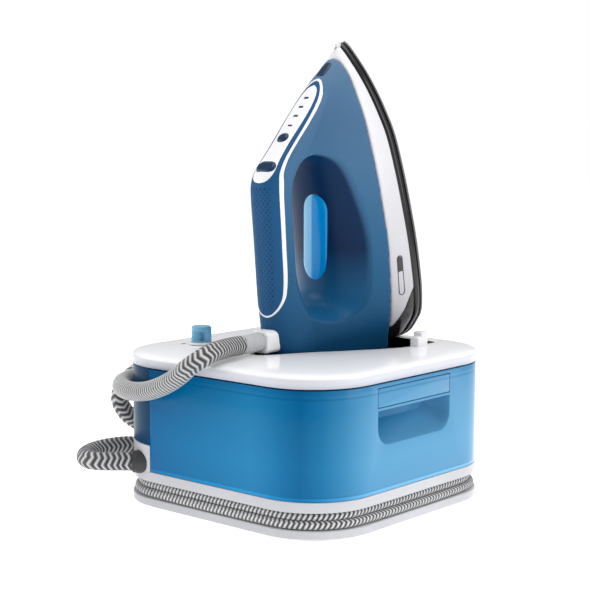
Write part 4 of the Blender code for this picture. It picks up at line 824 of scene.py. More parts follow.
def woven_tube(name, route, diameter, pitch, rows, sides, teeth, lean, depth):
    """A braided tube: rings along the route, its surface rising and falling with the bands.

    A band of the weave takes one pitch and a number of rows. It zigzags round the tube in so
    many teeth, each leaning over so many pitches.
    """
    points = resample(smooth_line(route, 12), lambda distance: pitch(distance) / rows)
    shape = bmesh.new()
    layer = shape.verts.layers.float.new("braid")
    side = Vector((0, 0, 1))
    rings = []
    for i, point in enumerate(points):
        along = (points[min(i + 1, len(points) - 1)] - points[max(i - 1, 0)]).normalized()
        side = (side - along * side.dot(along)).normalized()
        other = along.cross(side)
        ring = []
        for k in range(sides):
            angle = math.tau * k / sides
            tooth = abs((k * teeth / sides) % 1 - 0.5) * 2
            measure = i / rows + lean * tooth
            reach = diameter / 2 + depth * (math.cos(math.tau * (measure - 0.58)) - 1)
            vert = shape.verts.new(point + (side * math.cos(angle) + other * math.sin(angle)) * reach)
            vert[layer] = measure
            ring.append(vert)
        rings.append(ring)
    for one, two in zip(rings, rings[1:]):
        for k in range(sides):
            j = (k + 1) % sides
            shape.faces.new((one[k], one[j], two[j], two[k]))
    shape.faces.new(rings[0])
    shape.faces.new(rings[-1])
    length = sum((b - a).length for a, b in zip(points, points[1:]))
    return new_object(name, mesh_from(name, shape), 60), points, length


def hose_pitch(distance):
    """The weave is pushed together where the hose runs over the front edge, and open past it."""
    open_share = max(0.0, min(1.0, (distance - 0.180) / 0.050))
    bunched = math.exp(-((distance - 0.125) / 0.035) ** 2)
    return 0.0034 - 0.0007 * bunched + 0.0013 * open_share


def add_hose():
    hose, path, length = woven_tube(
        "steam_hose", hose_route(), HOSE_DIAMETER, hose_pitch,
        rows=6, sides=24, teeth=4, lean=0.55, depth=0.00025,
    )
    hose.data.materials.append(HOSE_LOOK)
    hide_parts("hose_front", "hose_coil", "hose_rear")
    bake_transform(hose)


def add_mains_cord():
    cord, path, length = woven_tube(
        "mains_cord", mains_route(), CORD_DIAMETER, lambda distance: CORD_PITCH,
        rows=8, sides=16, teeth=2, lean=0.65, depth=0.00012,
    )
    use(cord, "base", CORD_LOOK, "cord_braid", "mains_lead", "mains_winding", "mains_tail")


# ---------------------------------------------------------------- fittings on the cords
def add_plug():
    """Moulded two-pin plug with a ribbed neck."""
    length, half_width, height, floor_z = 0.0380, 0.0175, 0.0250, GAP
    x, y = PLUG_PLACE.x, PLUG_PLACE.y
    loops = []
    stations = [
        (0.00, 0.30, 0.50), (0.05, 0.33, 0.53), (0.09, 0.29, 0.50), (0.13, 0.35, 0.56), (0.17, 0.32, 0.53),
        (0.22, 0.40, 0.60), (0.36, 0.66, 0.82), (0.52, 0.93, 0.98), (0.62, 1.0, 1.0), (0.96, 1.0, 1.0),
        (1.0, 0.95, 0.97),
    ]
    for share, width, tall in stations:
        reach = half_width * width
        outline = rounded_box(y - reach, y + reach, floor_z, floor_z + height * tall, 0.0035, 5)
        loops.append([(x + length * share, a, b) for a, b in outline])
    plug = loft("mains_plug_body", loops)
    use(plug, "base", DARK_GREY, "black_plastic", "mains_plug")
    for side in (-1, 1):
        profile = [(0, 0), (0.0024, 0), (0.0024, 0.0165), (0.0019, 0.0186), (0.0010, 0.0190), (0, 0.0190)]
        pin = turned("plug_pin_left" if side < 0 else "plug_pin_right", profile, 24)
        place(pin, (x + length, y + side * 0.0095, floor_z + height / 2), (1, 0, 0))
        use(pin, "base", BRASS, "brass")


def ribbed(name, radius_start, radius_end, reach, ribs, where, axis, steps=40):
    """A tapered sleeve with round ribs along it."""
    profile = [(0, 0), (radius_start, 0)]
    count = ribs * 8
    for i in range(1, count):
        share = i / count
        wave = 0.5 - 0.5 * math.cos(math.tau * share * ribs)
        radius = radius_start + (radius_end - radius_start) * share
        profile.append((radius - RIB_DEPTH * wave, reach * share))
    profile += [(radius_end, reach), (0, reach)]
    return place(turned(name, profile, steps, 60), where, axis)


def add_glands():
    gland = turned("hose_gland_ring", fillet([
        (0, -0.0070), (HOSE_GLAND_RADIUS, -0.0070), (HOSE_GLAND_RADIUS, 0.0028),
        (HOSE_GLAND_RADIUS - 0.0005, 0.0030), (HOSE_GLAND_RADIUS - 0.0005, HOSE_GLAND_REACH),
        (0, HOSE_GLAND_REACH),
    ], 0.0007, closed=False))
    place(gland, HOSE_GLAND_PLACE, HOSE_GLAND_AXIS)
    # Painted shade: the gland is dark grey for the shadowed crease where the hose enters the white base.
    use(gland, "base", DARK_GREY, "grey_plastic", "hose_gland")
    relief = ribbed("mains_relief", 0.0050, 0.0039, MAINS_GLAND_REACH - MAINS_COLLAR, 6,
                    MAINS_GLAND_PLACE + MAINS_GLAND_AXIS * MAINS_COLLAR, MAINS_GLAND_AXIS, 32)
    use(relief, "base", BLACK, "black_plastic", "mains_gland")
    nut = turned("mains_collar", fillet([
        (0, -0.0080), (MAINS_GLAND_RADIUS, -0.0080), (MAINS_GLAND_RADIUS, MAINS_COLLAR - 0.0001),
        (0, MAINS_COLLAR - 0.0001),
    ], 0.0006, closed=False), 32)
    use(place(nut, MAINS_GLAND_PLACE, MAINS_GLAND_AXIS), "base", BLACK, "black_plastic")


# ---------------------------------------------------------------- base
def swept(name, profile, outline=base_outline):
    """A band round the base from a closed profile of (offset, z)."""
    return loft(name, [level(outline(offset), z) for offset, z in profile], ring=True)


def rear_path(offset):
    """The outline round the back, open where the tank begins."""
    limit = REAR_X - GAP
    points = clip_x(base_outline(offset), limit, keep_above=False)
    first = next(i for i, p in enumerate(points) if p[0] == limit and points[i - 1][0] == limit)
    return points[first:] + points[:first]


def rear_wall(name, profile):
    """An open wall round the back from a closed profile of (offset, z), capped at its ends."""
    lines = [level(rear_path(offset), z) for offset, z in profile]
    return loft(name, [list(station) for station in zip(*lines)])


def add_base_shells():
    # The plate, deck band and rear step take the white with painted shade.
    plate = swept("base_plate_shell", fillet([
        (-WALL, Z_GROOVE - WALL), (-WALL, Z_PLATE), (PLATE_LIP, Z_PLATE), (PLATE_LIP, Z_GROOVE),
        (-PLATE_SHELF, Z_GROOVE), (-PLATE_SHELF, Z_GROOVE - WALL),
    ], 0.0009))
    use(plate, "base", PLATE_WHITE_PAINTED_SHADE, "white_plastic", "base_plate")
    bottom = prism("base_floor", base_outline(0.0005 - PLATE_SHELF), Z_GROOVE - WALL, Z_GROOVE - 0.0002)
    use(bottom, "base", WHITE, "white_plastic")
    deck = swept("deck_band", fillet([
        (0.0003, Z_DECK), (0.0003, Z_TANK - 0.0004), (-DECK_SHELF, Z_TANK - 0.0004),
        (-DECK_SHELF, Z_DECK + 0.0040),
        (-WALL, Z_DECK + 0.0040), (-WALL, Z_DECK),
    ], 0.0007))
    use(deck, "base", PLATE_WHITE_PAINTED_SHADE, "white_plastic", "lower_housing")
    floor = prism("deck_floor", base_outline(0.0005 - DECK_SHELF), Z_TANK - WALL, Z_TANK - 0.0004)
    use(floor, "base", WHITE, "white_plastic")
    step = rear_wall("rear_step_wall", fillet([
        (-WALL, Z_TANK - 0.0010), (0.0002, Z_TANK - 0.0010), (0.0002, Z_STEP), (-WALL, Z_STEP),
    ], 0.0006))
    use(step, "base", PLATE_WHITE_PAINTED_SHADE, "white_plastic")
    rear = rear_wall("rear_wall", fillet([
        (-WALL, Z_STEP + GAP), (0.0, Z_STEP + GAP), (0.0, Z_LID - GAP), (-WALL, Z_LID - GAP),
    ], 0.0006))
    use(rear, "base", HOUSING, "housing_blue", "rear_cover")


def slot_points():
    reach = SLOT_BACK_Y - SLOT_FRONT_Y
    shares = [
        (0, 0), (0.075, 0.012), (0.185, 0.080), (0.315, 0.2), (0.575, 0.372), (0.865, 0.582),
        (0.985, 0.722), (1, 0.83), (0.985, 0.92), (0.90, 0.985), (0.75, 1), (0, 1),
    ]
    half = [Vector((SLOT_HALF * x, SLOT_FRONT_Y + reach * y)) for x, y in shares]
    return mirrored(smooth_line(half[:-1], 6) + [half[-1]])


def along_ray(outline, centre, angle):
    """Where a ray from a centre crosses an outline of 2-D points."""
    way = Vector((math.cos(angle), math.sin(angle)))
    best = None
    for a, b in zip(outline, outline[1:] + outline[:1]):
        a, b = Vector(a[:2]) - centre, Vector(b[:2]) - centre
        side_a, side_b = way.cross(a), way.cross(b)
        if side_a * side_b > 0 or side_a == side_b:
            continue
        hit = a.lerp(b, side_a / (side_a - side_b))
        if hit.dot(way) > 0 and (best is None or hit.dot(way) < best):
            best = hit.dot(way)
    return centre + way * best


LID_TOP = [
    (0.0006, Z_LID + LID_BAND), (-0.0001, Z_TOP - 0.0032), (-0.0018, Z_TOP - 0.0022),
    (-0.0046, Z_TOP - 0.0015), (-0.0090, Z_TOP - 0.0010), (-0.0160, Z_TOP - 0.0006),
    (-0.0280, Z_TOP - 0.0001),
]


def add_lid():
    """The cover: an upright band, a soft shoulder, and a top that rolls into the dock slot."""
    centre = Vector((0.0, 0.045))
    count = 192
    angles = [math.tau * (i + 0.5) / count for i in range(count)]

    def outer(offset, z):
        outline = base_outline(offset, 24)
        return [(*along_ray(outline, centre, a), z) for a in angles]

    def inner(offset, z):
        outline = inset_loop(slot_points(), -offset)
        return [(*along_ray(outline, centre, a), z) for a in angles]

    loops = [outer(-0.0025, Z_TOP - 0.0044), outer(-0.0025, Z_LID + 0.0003), outer(-0.0020, Z_LID)]
    loops += [outer(0.0001, Z_LID), outer(0.0006, Z_LID + 0.0005)]
    loops += [outer(offset, z) for offset, z in LID_TOP]
    edge, rim = loops[-1], inner(0.0035, Z_TOP)
    for share in (0.33, 0.66):
        loops.append([Vector(a).lerp(Vector(b), share) for a, b in zip(edge, rim)])
    loops.append(rim)
    for offset, drop in ((0.0022, 0.0001), (0.0010, 0.0006), (0.0004, 0.0014), (0.0004, 0.0044)):
        loops.append(inner(offset, Z_TOP - drop))
    lid = loft("lid", loops, ring=True, smooth=50)
    use(lid, "base", LID_WHITE, "white_plastic", "top_cover")
    for side in (-1, 1):
        x = side * (SLOT_HALF + 0.0042)
        guide = box("slot_guide_left" if side < 0 else "slot_guide_right",
                    (x - 0.0044, 0.0530, Z_TOP - 0.0030), (x + 0.0044, 0.0665, high("top_cover").z))
        notch = box("notch", (x - 0.02, 0.0520, Z_TOP + 0.0080), (x + 0.02, 0.0575, Z_TOP + 0.0200))
        combine(guide, [notch])
        use(ease(guide, 0.0012, 3), "base", WHITE, "white_plastic")


def grip_outline(extra=0.0):
    y0, y1 = GRIP_SHIFT_Y - GRIP_WIDTH / 2 - extra, GRIP_SHIFT_Y + GRIP_WIDTH / 2 + extra
    z0, z1 = GRIP_TOP - GRIP_HEIGHT - extra, GRIP_TOP + extra
    radius = GRIP_HEIGHT / 2
    lower_right = arc((y1 - radius, z0 + radius), radius, -90, 0, 10)
    lower_left = arc((y0 + radius, z0 + radius), radius, 180, 270, 10)
    return lower_left + lower_right + [(y1, z1), (y0, z1)]


def grip_scoop(name, extra=0.0):
    outline = grip_outline(extra)
    top = GRIP_TOP + extra
    back = GRIP_DEPTH + extra

    def station(depth, lift, squeeze):
        loop = []
        for y, z in outline:
            share = (top - z) / (GRIP_HEIGHT + 2 * extra)
            loop.append((HALF - depth, GRIP_SHIFT_Y + (y - GRIP_SHIFT_Y) * squeeze, z + lift * share))
        return loop
    stations = [(-0.01, 0, 1), (0, 0, 1)]
    for i in range(1, 7):
        t = i / 6
        stations.append((back * t, 0.0150 * t ** 1.5, 1 - 0.14 * t ** 2))
    return loft(name, [station(*s) for s in stations], smooth=30)


def add_tank():
    """The clear blue tank with its grip pocket, filler opening and the seams beside them."""
    z0, z1 = Z_TANK, high("tank_cover").z
    limit = REAR_X + TANK_WALL
    tank = prism("tank_shell", clip_x(base_outline(0.0), REAR_X, True), z0, z1)
    side = INNER_HALF
    inner = prism("inner", rounded_box(-0.2, side, -side, side, 0.006, 6), z0 - 0.01, z1 + 0.01)
    room_side = INNER_HALF + TANK_WALL
    room = prism("room", clip_x(base_outline(-TANK_WALL), limit, True), z0 + TANK_WALL, z1 - 0.0027)
    island_plan = rounded_box(-0.2, room_side, -room_side, room_side, 0.008, 6)
    island = prism("island", island_plan, z0 - 0.01, z1 + 0.01)
    y0, y1 = FLAP_LOW.y, FLAP_HIGH.y
    seat_wall = box("seat_wall", (HALF - 0.0045, y0 - 0.003, GRIP_TOP - 0.001),
                    (HALF + 0.01, y1 + 0.003, z1 + 0.02))
    combine(room, [island, grip_scoop("scoop_wall", TANK_WALL), seat_wall])
    seat = box("seat", (HALF - 0.0019, y0 - 2 * GAP, FLAP_LOW.z - 2 * GAP),
               (HALF + 0.01, y1 + 2 * GAP, FLAP_HIGH.z + 2 * GAP))
    filler = rounded_box(y0 + 0.012, y1 - 0.012, FLAP_LOW.z + 0.0035, FLAP_HIGH.z - 0.0035, 0.003, 4)
    hole = loft("filler", [[(x, y, z) for y, z in filler] for x in (HALF - 0.02, HALF + 0.01)])
    combine(tank, [inner, room, grip_scoop("scoop"), seat, hole])
    ease(tank, 0.0005, 2, 38)
    use(tank, "tank", TANK, "clear_blue", "water_tank", "tank_cover")
    flap_outline = rounded_box(y0, y1, FLAP_LOW.z, FLAP_HIGH.z, 0.0012, 4)
    flap = loft("filler_flap", [[(x, y, z) for y, z in flap_outline] for x in (FLAP_LOW.x, FLAP_HIGH.x)])
    use(ease(flap, 0.0004), "tank_flap", TANK, "clear_blue", "tank_flap")


def add_knob():
    """Lock knob: a round plate carried by two posts over a white disc."""
    bottom, top = low("lock_knob").z, high("lock_knob").z
    middle = (low("lock_knob") + high("lock_knob")) / 2
    radius = high("lock_knob").x - middle.x
    plate = turned("knob_plate", fillet([(0, top - 0.0042), (radius, top - 0.0042), (radius, top), (0, top)],
                                        0.0009, closed=False))
    for post_radius, dx, dy in ((0.0047, -0.0026, -0.0022), (0.0036, 0.0040, 0.0030)):
        profile = [(0, bottom), (post_radius, bottom), (post_radius, top - 0.0010), (0, top - 0.0010)]
        post = turned("post", profile)
        combine(plate, [move(post, Matrix.Translation((dx, dy, 0)))], "UNION")
    foot = [(0, bottom), (radius - 0.0012, bottom), (radius - 0.0016, bottom + 0.0011), (0, bottom + 0.0011)]
    combine(plate, [turned("foot", foot)], "UNION")
    move(plate, Matrix.Translation((middle.x, middle.y, 0)))
    use(ease(plate, 0.0005), "lock_knob", KNOB, "knob_blue", "lock_knob")
    disc_low, disc_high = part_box("lock_disc")
    rim = disc_high.x - middle.x
    disc = turned("knob_disc", fillet([
        (0.0042, disc_low.z), (rim, disc_low.z), (rim, disc_high.z), (0.0042, disc_high.z),
    ], 0.0005))
    use(move(disc, Matrix.Translation((middle.x, middle.y, 0))), "base", WHITE, "white_plastic", "lock_disc")
    mark = box("lock_mark", (middle.x - 0.0135, middle.y - 0.0105, Z_TOP - 0.0006),
               (middle.x - 0.0115, middle.y - 0.0065, Z_TOP + 0.0001))
    use(ease(mark, 0.0001, 1), "base", DARK_GREY, "black_plastic")


# ---------------------------------------------------------------- iron
TO_WORLD = Matrix.Translation(IRON_HEEL) @ Matrix.Rotation(math.radians(90) + LEAN, 4, "X")
KNEE, NOSE = Vector((0, 162 * MM, 127 * MM)), Vector((0, 229 * MM, 42 * MM))
SLOPE = TO_WORLD @ Matrix.Translation(KNEE) @ Matrix.Rotation(
    math.atan2((NOSE - KNEE).z, (NOSE - KNEE).y), 4, "X")


def sole_loop(inset, z, steps=6):
    half = [Vector((x * MM, y * MM, 0)) for x, y in SOLE_LINE]
    return [Vector((p.x, max(p.y, 0.0), z)) for p in inset_loop(mirrored(smooth_line(half, steps)), inset)]


def waist_loop(inset, drop=0.0, steps=6):
    half = [Vector((x * MM, y * MM, z * MM)) for x, y, z in WAIST_LINE]
    return [Vector((p.x, p.y, p.z - drop)) for p in inset_loop(mirrored(smooth_line(half, steps)), inset)]


def iron_piece(thing, look, slot, *nodes, body="iron", matrix=None):
    return use(move(thing, matrix or TO_WORLD), body, look, slot, *nodes)


def add_sole():
    plate = loft("sole_plate", [
        sole_loop(0.0030, 0), sole_loop(0.0016, 0.0001), sole_loop(0.0006, 0.0006), sole_loop(0, 0.0014),
        sole_loop(0.0001, 0.0023), sole_loop(0.0006, SOLE_THICKNESS),
    ], smooth=60)
    iron_piece(plate, SOLE, "sole_metal", "soleplate")
    low_z = SOLE_THICKNESS + GAP
    shield = loft("shield_band", [
        sole_loop(0.0022, low_z), sole_loop(0.0012, low_z + 0.0003), sole_loop(0.0008, low_z + 0.0014),
        sole_loop(0.0009, SHIELD_TOP - 0.0016), sole_loop(0.0016, SHIELD_TOP - 0.0004),
        sole_loop(0.0026, SHIELD_TOP),
    ], smooth=60)
    iron_piece(shield, GLOSS_BLACK, "black_plastic", "heat_shield")


def skirt_ring(name):
    bottom_z = SHIELD_TOP + GAP
    bottom, top = sole_loop(0.0020, bottom_z), waist_loop(0, GAP)
    outer = []
    for share in (0.0, 0.03, 0.08, 0.25, 0.5, 0.75, 0.92, 0.97, 1.0):
        swell = 0.0010 * math.sin(math.pi * share) - 0.0007 * max(0.0, abs(share - 0.5) - 0.46) / 0.04
        outer.append(inset_loop([a.lerp(b, share) for a, b in zip(bottom, top)], -swell))
    inner = [inset_loop(loop, SKIRT_WALL) for loop in (top, outer[4], bottom)]
    return loft(name, outer + inner, ring=True, smooth=50)


def heel_wedge(shift):
    profile = [(-30, 0), (53, 0), (50, 9), (43, 15), (30, 23), (19, 34), (19, 50), (-30, 50)]
    points = [Vector((0, y * MM + shift, z * MM)) for y, z in profile]
    smooth = smooth_line(points[1:7], 5)
    outline = [points[0]] + smooth + [points[7]]
    return loft("wedge", [[Vector((x, p.y, p.z)) for p in outline] for x in (-0.075, 0.075)])


MARK_MIDDLE = (62.5, 24.0)
MARK_HALF = (17.0, 3.0)


def add_skirt_mark(skirt):
    """A small window on the skirt's side: a thin outline with a dark upper part."""
    shape = bmesh.new()
    shape.from_mesh(skirt.data)
    tree = BVHTree.FromBMesh(shape)
    shape.free()

    def on_skin(points, lift):
        made = []
        for y, z in points:
            hit = tree.ray_cast(Vector((0.1, y * MM, z * MM)), Vector((-1, 0, 0)))[0]
            made.append(Vector((hit.x + lift, y * MM, z * MM)))
        return made

    def window(inset):
        radius = MARK_HALF[1] - inset
        run = MARK_HALF[0] - MARK_HALF[1]
        y, z = MARK_MIDDLE
        return arc((y + run, z), radius, -90, 90, 10) + arc((y - run, z), radius, 90, 270, 10)

    stations = ((0.0, -0.0004), (0.0, 0.0004), (0.6, 0.0004), (0.6, -0.0004))
    ring = loft("skirt_window_rim", [on_skin(window(inset), lift) for inset, lift in stations], ring=True)
    iron_piece(ring, DARK_GREY, "black_plastic")
    cut = MARK_MIDDLE[0] + MARK_HALF[0] * 0.20
    half = MARK_HALF[1] - 0.9
    upper = [(y, z) for y, z in window(0.9) if y > cut]
    upper += [(cut, MARK_MIDDLE[1] + half), (cut, MARK_MIDDLE[1] - half)]
    fill = loft("skirt_window", [on_skin(upper, -0.0006), on_skin(upper, 0.00025)])
    iron_piece(fill, DARK_GREY, "black_plastic")


def add_skirt():
    front = combine(skirt_ring("skirt_shell"), [heel_wedge(0.00015)])
    add_skirt_mark(front)
    iron_piece(front, SKIRT_WHITE, "white_plastic", "skirt")
    heel = combine(skirt_ring("heel_shell"), [heel_wedge(-0.00015)], "INTERSECT")
    iron_piece(heel, GLOSS_BLACK, "black_plastic", "heel_guard")


def body_section(row, steps=8):
    """One closed section across the body, from the waist over the handle and back."""
    y, waist, waist_z, handle, top = row
    shoulder = min(BODY_SHOULDER, waist_z + (top - waist_z) * 0.70)
    half = []
    for k in range(steps):
        share = k / steps
        swell = 1.6 * math.sin(math.pi * share) * (waist - handle) / 30
        half.append((waist + (handle - waist) * share + swell, waist_z + (shoulder - waist_z) * share))
    for k in range(13):
        turn = math.radians(90 * k / 12)
        x = max(0.0, math.cos(turn)) ** (2 / BODY_ROUND)
        z = math.sin(turn) ** (2 / BODY_ROUND)
        half.append((max(handle, 0.3) * x, shoulder + (top - shoulder) * z))
    heel_share = max(0.0, min(1.0, (45 - y) / 55))
    loop = []
    for x, z in half + [(-x, z) for x, z in reversed(half[:-1])]:
        lean = math.tan(LEAN) * (z - waist_z) * heel_share
        loop.append(Vector((x, y + lean, z)) * MM)
    return loop


def body_rows(steps=4):
    return [tuple(row) for row in smooth_line(BODY_LINE, steps)]


def finger_hole():
    outline = smooth_line(HOLE_LINE, 8, closed=True)
    loops = []
    shares = [-1.9, -1.2] + [k / 8 for k in range(-8, 9)] + [1.2, 1.9]
    for share in shares:
        blend = min(1.0, share * share)
        loop = []
        for y, z in outline:
            inner_y = HOLE_INNER_MIDDLE[0] + (y - HOLE_FLANK_MIDDLE[0]) * HOLE_INNER_SHARE[0]
            inner_z = HOLE_INNER_MIDDLE[1] + (z - HOLE_FLANK_MIDDLE[1]) * HOLE_INNER_SHARE[1]
            flank = 19 + 30 * max(0.0, min(1.0, (105 - z) / 71))
            x = flank * share
            if abs(share) > 1:
                x = math.copysign(flank + (62 - flank) * (abs(share) - 1) / 0.9, share)
            loop.append(Vector((x, inner_y + (y - inner_y) * blend, inner_z + (z - inner_z) * blend)) * MM)
        loops.append(loop)
    return loft("hole", loops)


def body_half_width(rows, y, z):
    """Half the body's width at a place seen from its side, millimetres."""
    for a, b in zip(rows, rows[1:]):
        if a[0] <= y <= b[0]:
            t = (y - a[0]) / (b[0] - a[0])
            waist, waist_z, handle, top = (a[k] + (b[k] - a[k]) * t for k in (1, 2, 3, 4))
            shoulder = min(BODY_SHOULDER, waist_z + (top - waist_z) * 0.70)
            if z < shoulder:
                share = max(0.0, (z - waist_z) / (shoulder - waist_z))
                swell = 1.6 * math.sin(math.pi * share) * (waist - handle) / 30
                return waist + (handle - waist) * share + swell
            share = min(1.0, (z - shoulder) / (top - shoulder))
            return handle * (1 - share ** BODY_ROUND) ** (1 / BODY_ROUND)
    return 0.0


def mark_recess(mesh):
    """Note on every point how far it lies inside the finger hole, from 0 on the flanks to 1."""
    rows = body_rows()
    layer = mesh.attributes.new("recess", "FLOAT", "POINT")
    values = []
    for vert in mesh.vertices:
        x, y, z = (c / MM for c in vert.co)
        depth = 0.0
        if 38 < y < 180 and 48 < z < 120:
            depth = (body_half_width(rows, y, z) - abs(x) - 0.9) / 3.2
        depth = max(0.0, min(1.0, depth))
        values.append(depth * depth * (3 - 2 * depth))
    layer.data.foreach_set("value", values)


def add_body():
    """The blue body: remeshed after its hole is cut, so that every edge is moulded round."""
    body = loft("iron_shell", [body_section(row) for row in body_rows()])
    pocket = move(box("pocket", (-0.0108, -0.0005, -0.0110), (0.0108, 0.0964, 0.0002)),
                  TO_WORLD.inverted() @ SLOPE)
    slot = box("slot", (-0.0066, 0.118, 0.098), (0.0066, 0.156, 0.112))
    combine(body, [finger_hole(), pocket, slot])
    modifier(body, "REMESH", mode="VOXEL", voxel_size=0.0011, use_smooth_shade=True)
    modifier(body, "SMOOTH", factor=0.5, iterations=7)
    apply_modifiers(body)
    body.data.shade_smooth()
    # This measure places the body's painted shade inside the finger hole.
    mark_recess(body.data)
    iron_piece(body, BODY, "iron_blue", "iron_body")


def row_at(y):
    """The body's handle half width, shoulder and top at a place along the iron, millimetres."""
    rows = body_rows(6)
    for a, b in zip(rows, rows[1:]):
        if a[0] <= y <= b[0]:
            t = (y - a[0]) / (b[0] - a[0])
            waist_z, handle, top = (a[k] + (b[k] - a[k]) * t for k in (2, 3, 4))
            return handle, min(BODY_SHOULDER, waist_z + (top - waist_z) * 0.70), top
    raise ValueError(f"no section of the body at {y}")


def skin_height(x, y):
    handle, shoulder, top = row_at(y)
    share = min(0.999, abs(x) / handle)
    return shoulder + (top - shoulder) * (1 - share ** BODY_ROUND) ** (1 / BODY_ROUND)


def half_width(line, y):
    """The half width of an inlay's outline at a place along the iron."""
    best = 0.0
    for a, b in zip(line, line[1:]):
        if min(a[0], b[0]) <= y <= max(a[0], b[0]) and a[0] != b[0]:
            best = max(best, a[1] + (b[1] - a[1]) * (y - a[0]) / (b[0] - a[0]))
    return best


def skin_patch(name, line, shrink, lift, thickness, across, along, dimple=None):
    """A skin over the handle inside an outline: a grid of rows from side to side, closed below."""
    smooth = [tuple(p) for p in inset_plan(line, shrink)]
    y0, y1 = smooth[0][0], smooth[-1][0]
    top_rows, under_rows = [], []
    for i in range(along + 1):
        t = i / along
        y = y0 + (y1 - y0) * (0.5 - 0.5 * math.cos(math.pi * t)) * 0.3 + (y1 - y0) * t * 0.7
        y = min(max(y, y0 + 0.02), y1 - 0.02)
        width = max(half_width(smooth, y), 0.15)
        top_row, under_row = [], []
        for k in range(across + 1):
            share = math.sin(math.pi / 2 * (2 * k / across - 1))
            x = width * share
            z = skin_height(x, y)
            edge = max(0.0, abs(share) - 0.94) / 0.06
            drop = 0.12 * edge ** 2 + (dimple(share, y) if dimple else 0.0)
            top_row.append(Vector((x, y, z + lift - drop)) * MM)
            under_row.append(Vector((x, y, z - thickness)) * MM)
        top_rows.append(top_row)
        under_rows.append(under_row)
    loops = [top + list(reversed(under)) for top, under in zip(top_rows, under_rows)]
    return loft(name, loops, smooth=50)


def inset_plan(line, distance):
    """An inlay's half outline as a smooth line of (y, x), moved inward by a distance."""
    half = smooth_line([Vector((x, y)) for y, x in line], 5)
    loop = inset_loop(mirrored(half), distance)
    return [Vector((p[1], abs(p[0]))) for p in loop[:len(half)]]


def add_trim():
    """The thin white line round the grip and the panel."""
    half = smooth_line([Vector((x, y)) for y, x in TRIM_LINE], 8)
    loop = mirrored(half)
    width = TRIM_WIDTH / MM
    stations = [(0.0, -1.0), (0.0, 0.05), (0.15, 0.24), (0.5, 0.30), (0.85, 0.24), (1.0, 0.05), (1.0, -1.0)]
    loops = []
    for share, lift in stations:
        points = inset_loop(loop, width * share)
        loops.append([Vector((p[0], p[1], skin_height(p[0], p[1]) + lift)) * MM for p in points])
    trim = loft("trim_line", loops, ring=True, smooth=60)
    iron_piece(trim, WHITE, "white_plastic", "trim_ring")


def dot_depth(share, y):
    """Staggered rows of small round dots: 1 in the middle of a dot, 0 at its edge and between."""
    if abs(share) > 0.66 or not 60 < y < 157:
        return 0.0
    u, v = math.asin(share) * 3.4, y / 4.6
    a, b = (u + v) % 1 - 0.5, (u - v) % 1 - 0.5
    return max(0.0, 1 - (math.hypot(a, b) / 0.24) ** 2)


def grip_dimple(share, y):
    return 0.25 * dot_depth(share, y)


def add_grip():
    inset = TRIM_WIDTH / MM + 0.15
    grip = skin_patch("grip_skin", TRIM_LINE, inset, 0.10, 1.2, 150, 380, grip_dimple)
    layer = grip.data.attributes.new("dots", "FLOAT", "POINT")
    values = []
    for vert in grip.data.vertices:
        x, y = vert.co.x / MM, vert.co.y / MM
        width = max(half_width(TRIM_LINE, y) - inset, 0.15)
        values.append(dot_depth(max(-1.0, min(1.0, x / width)), y))
    layer.data.foreach_set("value", values)
    iron_piece(grip, GRIP, "navy_plastic", "grip_cover")
    nose = skin_patch("nose_window", NOSE_LINE, 0.1, 0.25, 0.8, 16, 24)
    iron_piece(nose, NAVY, "navy_plastic", "nose_cap")


def capsule(half_x, half_y, along, steps=8):
    run = half_x - half_y
    return arc((run, along), half_y, -90, 90, steps) + arc((-run, along), half_y, 90, 270, steps)


def panel_loft(name, half, along, stations):
    """A capsule-shaped piece on the panel's slope from (inset, z) stations."""
    loops = []
    for inset, z in stations:
        outline = capsule(half[0] - inset, half[1] - inset, along)
        loops.append([(x, y, z) for x, y in outline])
    return loft(name, loops, smooth=50)


MODE = ((0.0094, 0.0050), 0.0150)
SETTINGS = ((0.0052, 0.0044), 0.0455)
LIGHTS = (0.0585, 0.0688, 0.0785, 0.0884)


def add_panel():
    panel = skin_patch("panel_skin", PANEL_LINE, 0.1, 0.55, 1.4, 40, 120)
    move(panel, TO_WORLD)
    cutters = []
    for half, along in (MODE, SETTINGS):
        cutters.append(move(panel_loft("cut", half, along, [(-0.0004, -0.02), (-0.0004, 0.02)]), SLOPE))
    for along in LIGHTS:
        cut = box("cut", (-0.0023, along - 0.0010, -0.02), (0.0023, along + 0.0010, 0.02))
        cutters.append(move(cut, SLOPE))
    combine(panel, cutters)
    use(panel, "iron", WHITE, "white_plastic", "control_panel")
    for name, (half, along) in (("mode", MODE), ("settings", SETTINGS)):
        key = panel_loft(name + "_key", half, along, [
            (0.0002, -0.0038), (0.0, -0.0002), (0.0001, 0.0008), (0.0006, 0.0013), (0.0014, 0.0016),
            (0.0028, 0.0017), (0.0036, 0.00165),
        ])
        iron_piece(key, NAVY, "navy_plastic", name + "_button", body=name + "_button", matrix=SLOPE)
    bar = box("light_bar", (-0.0030, LIGHTS[0] - 0.003, -0.0042), (0.0030, LIGHTS[-1] + 0.003, -0.0030))
    for along in LIGHTS:
        prong = box("prong", (-0.0020, along - 0.0008, -0.0036), (0.0020, along + 0.0008, 0.0006))
        combine(bar, [prong], "UNION")
    iron_piece(bar, NAVY, "lens_blue", "light_guide", matrix=SLOPE)


def stadium(half_length, radius, steps=12):
    run = half_length - radius
    return arc((0, run), radius, 0, 180, steps) + arc((0, -run), radius, 180, 360, steps)


LENS_TURN = math.radians(-9)


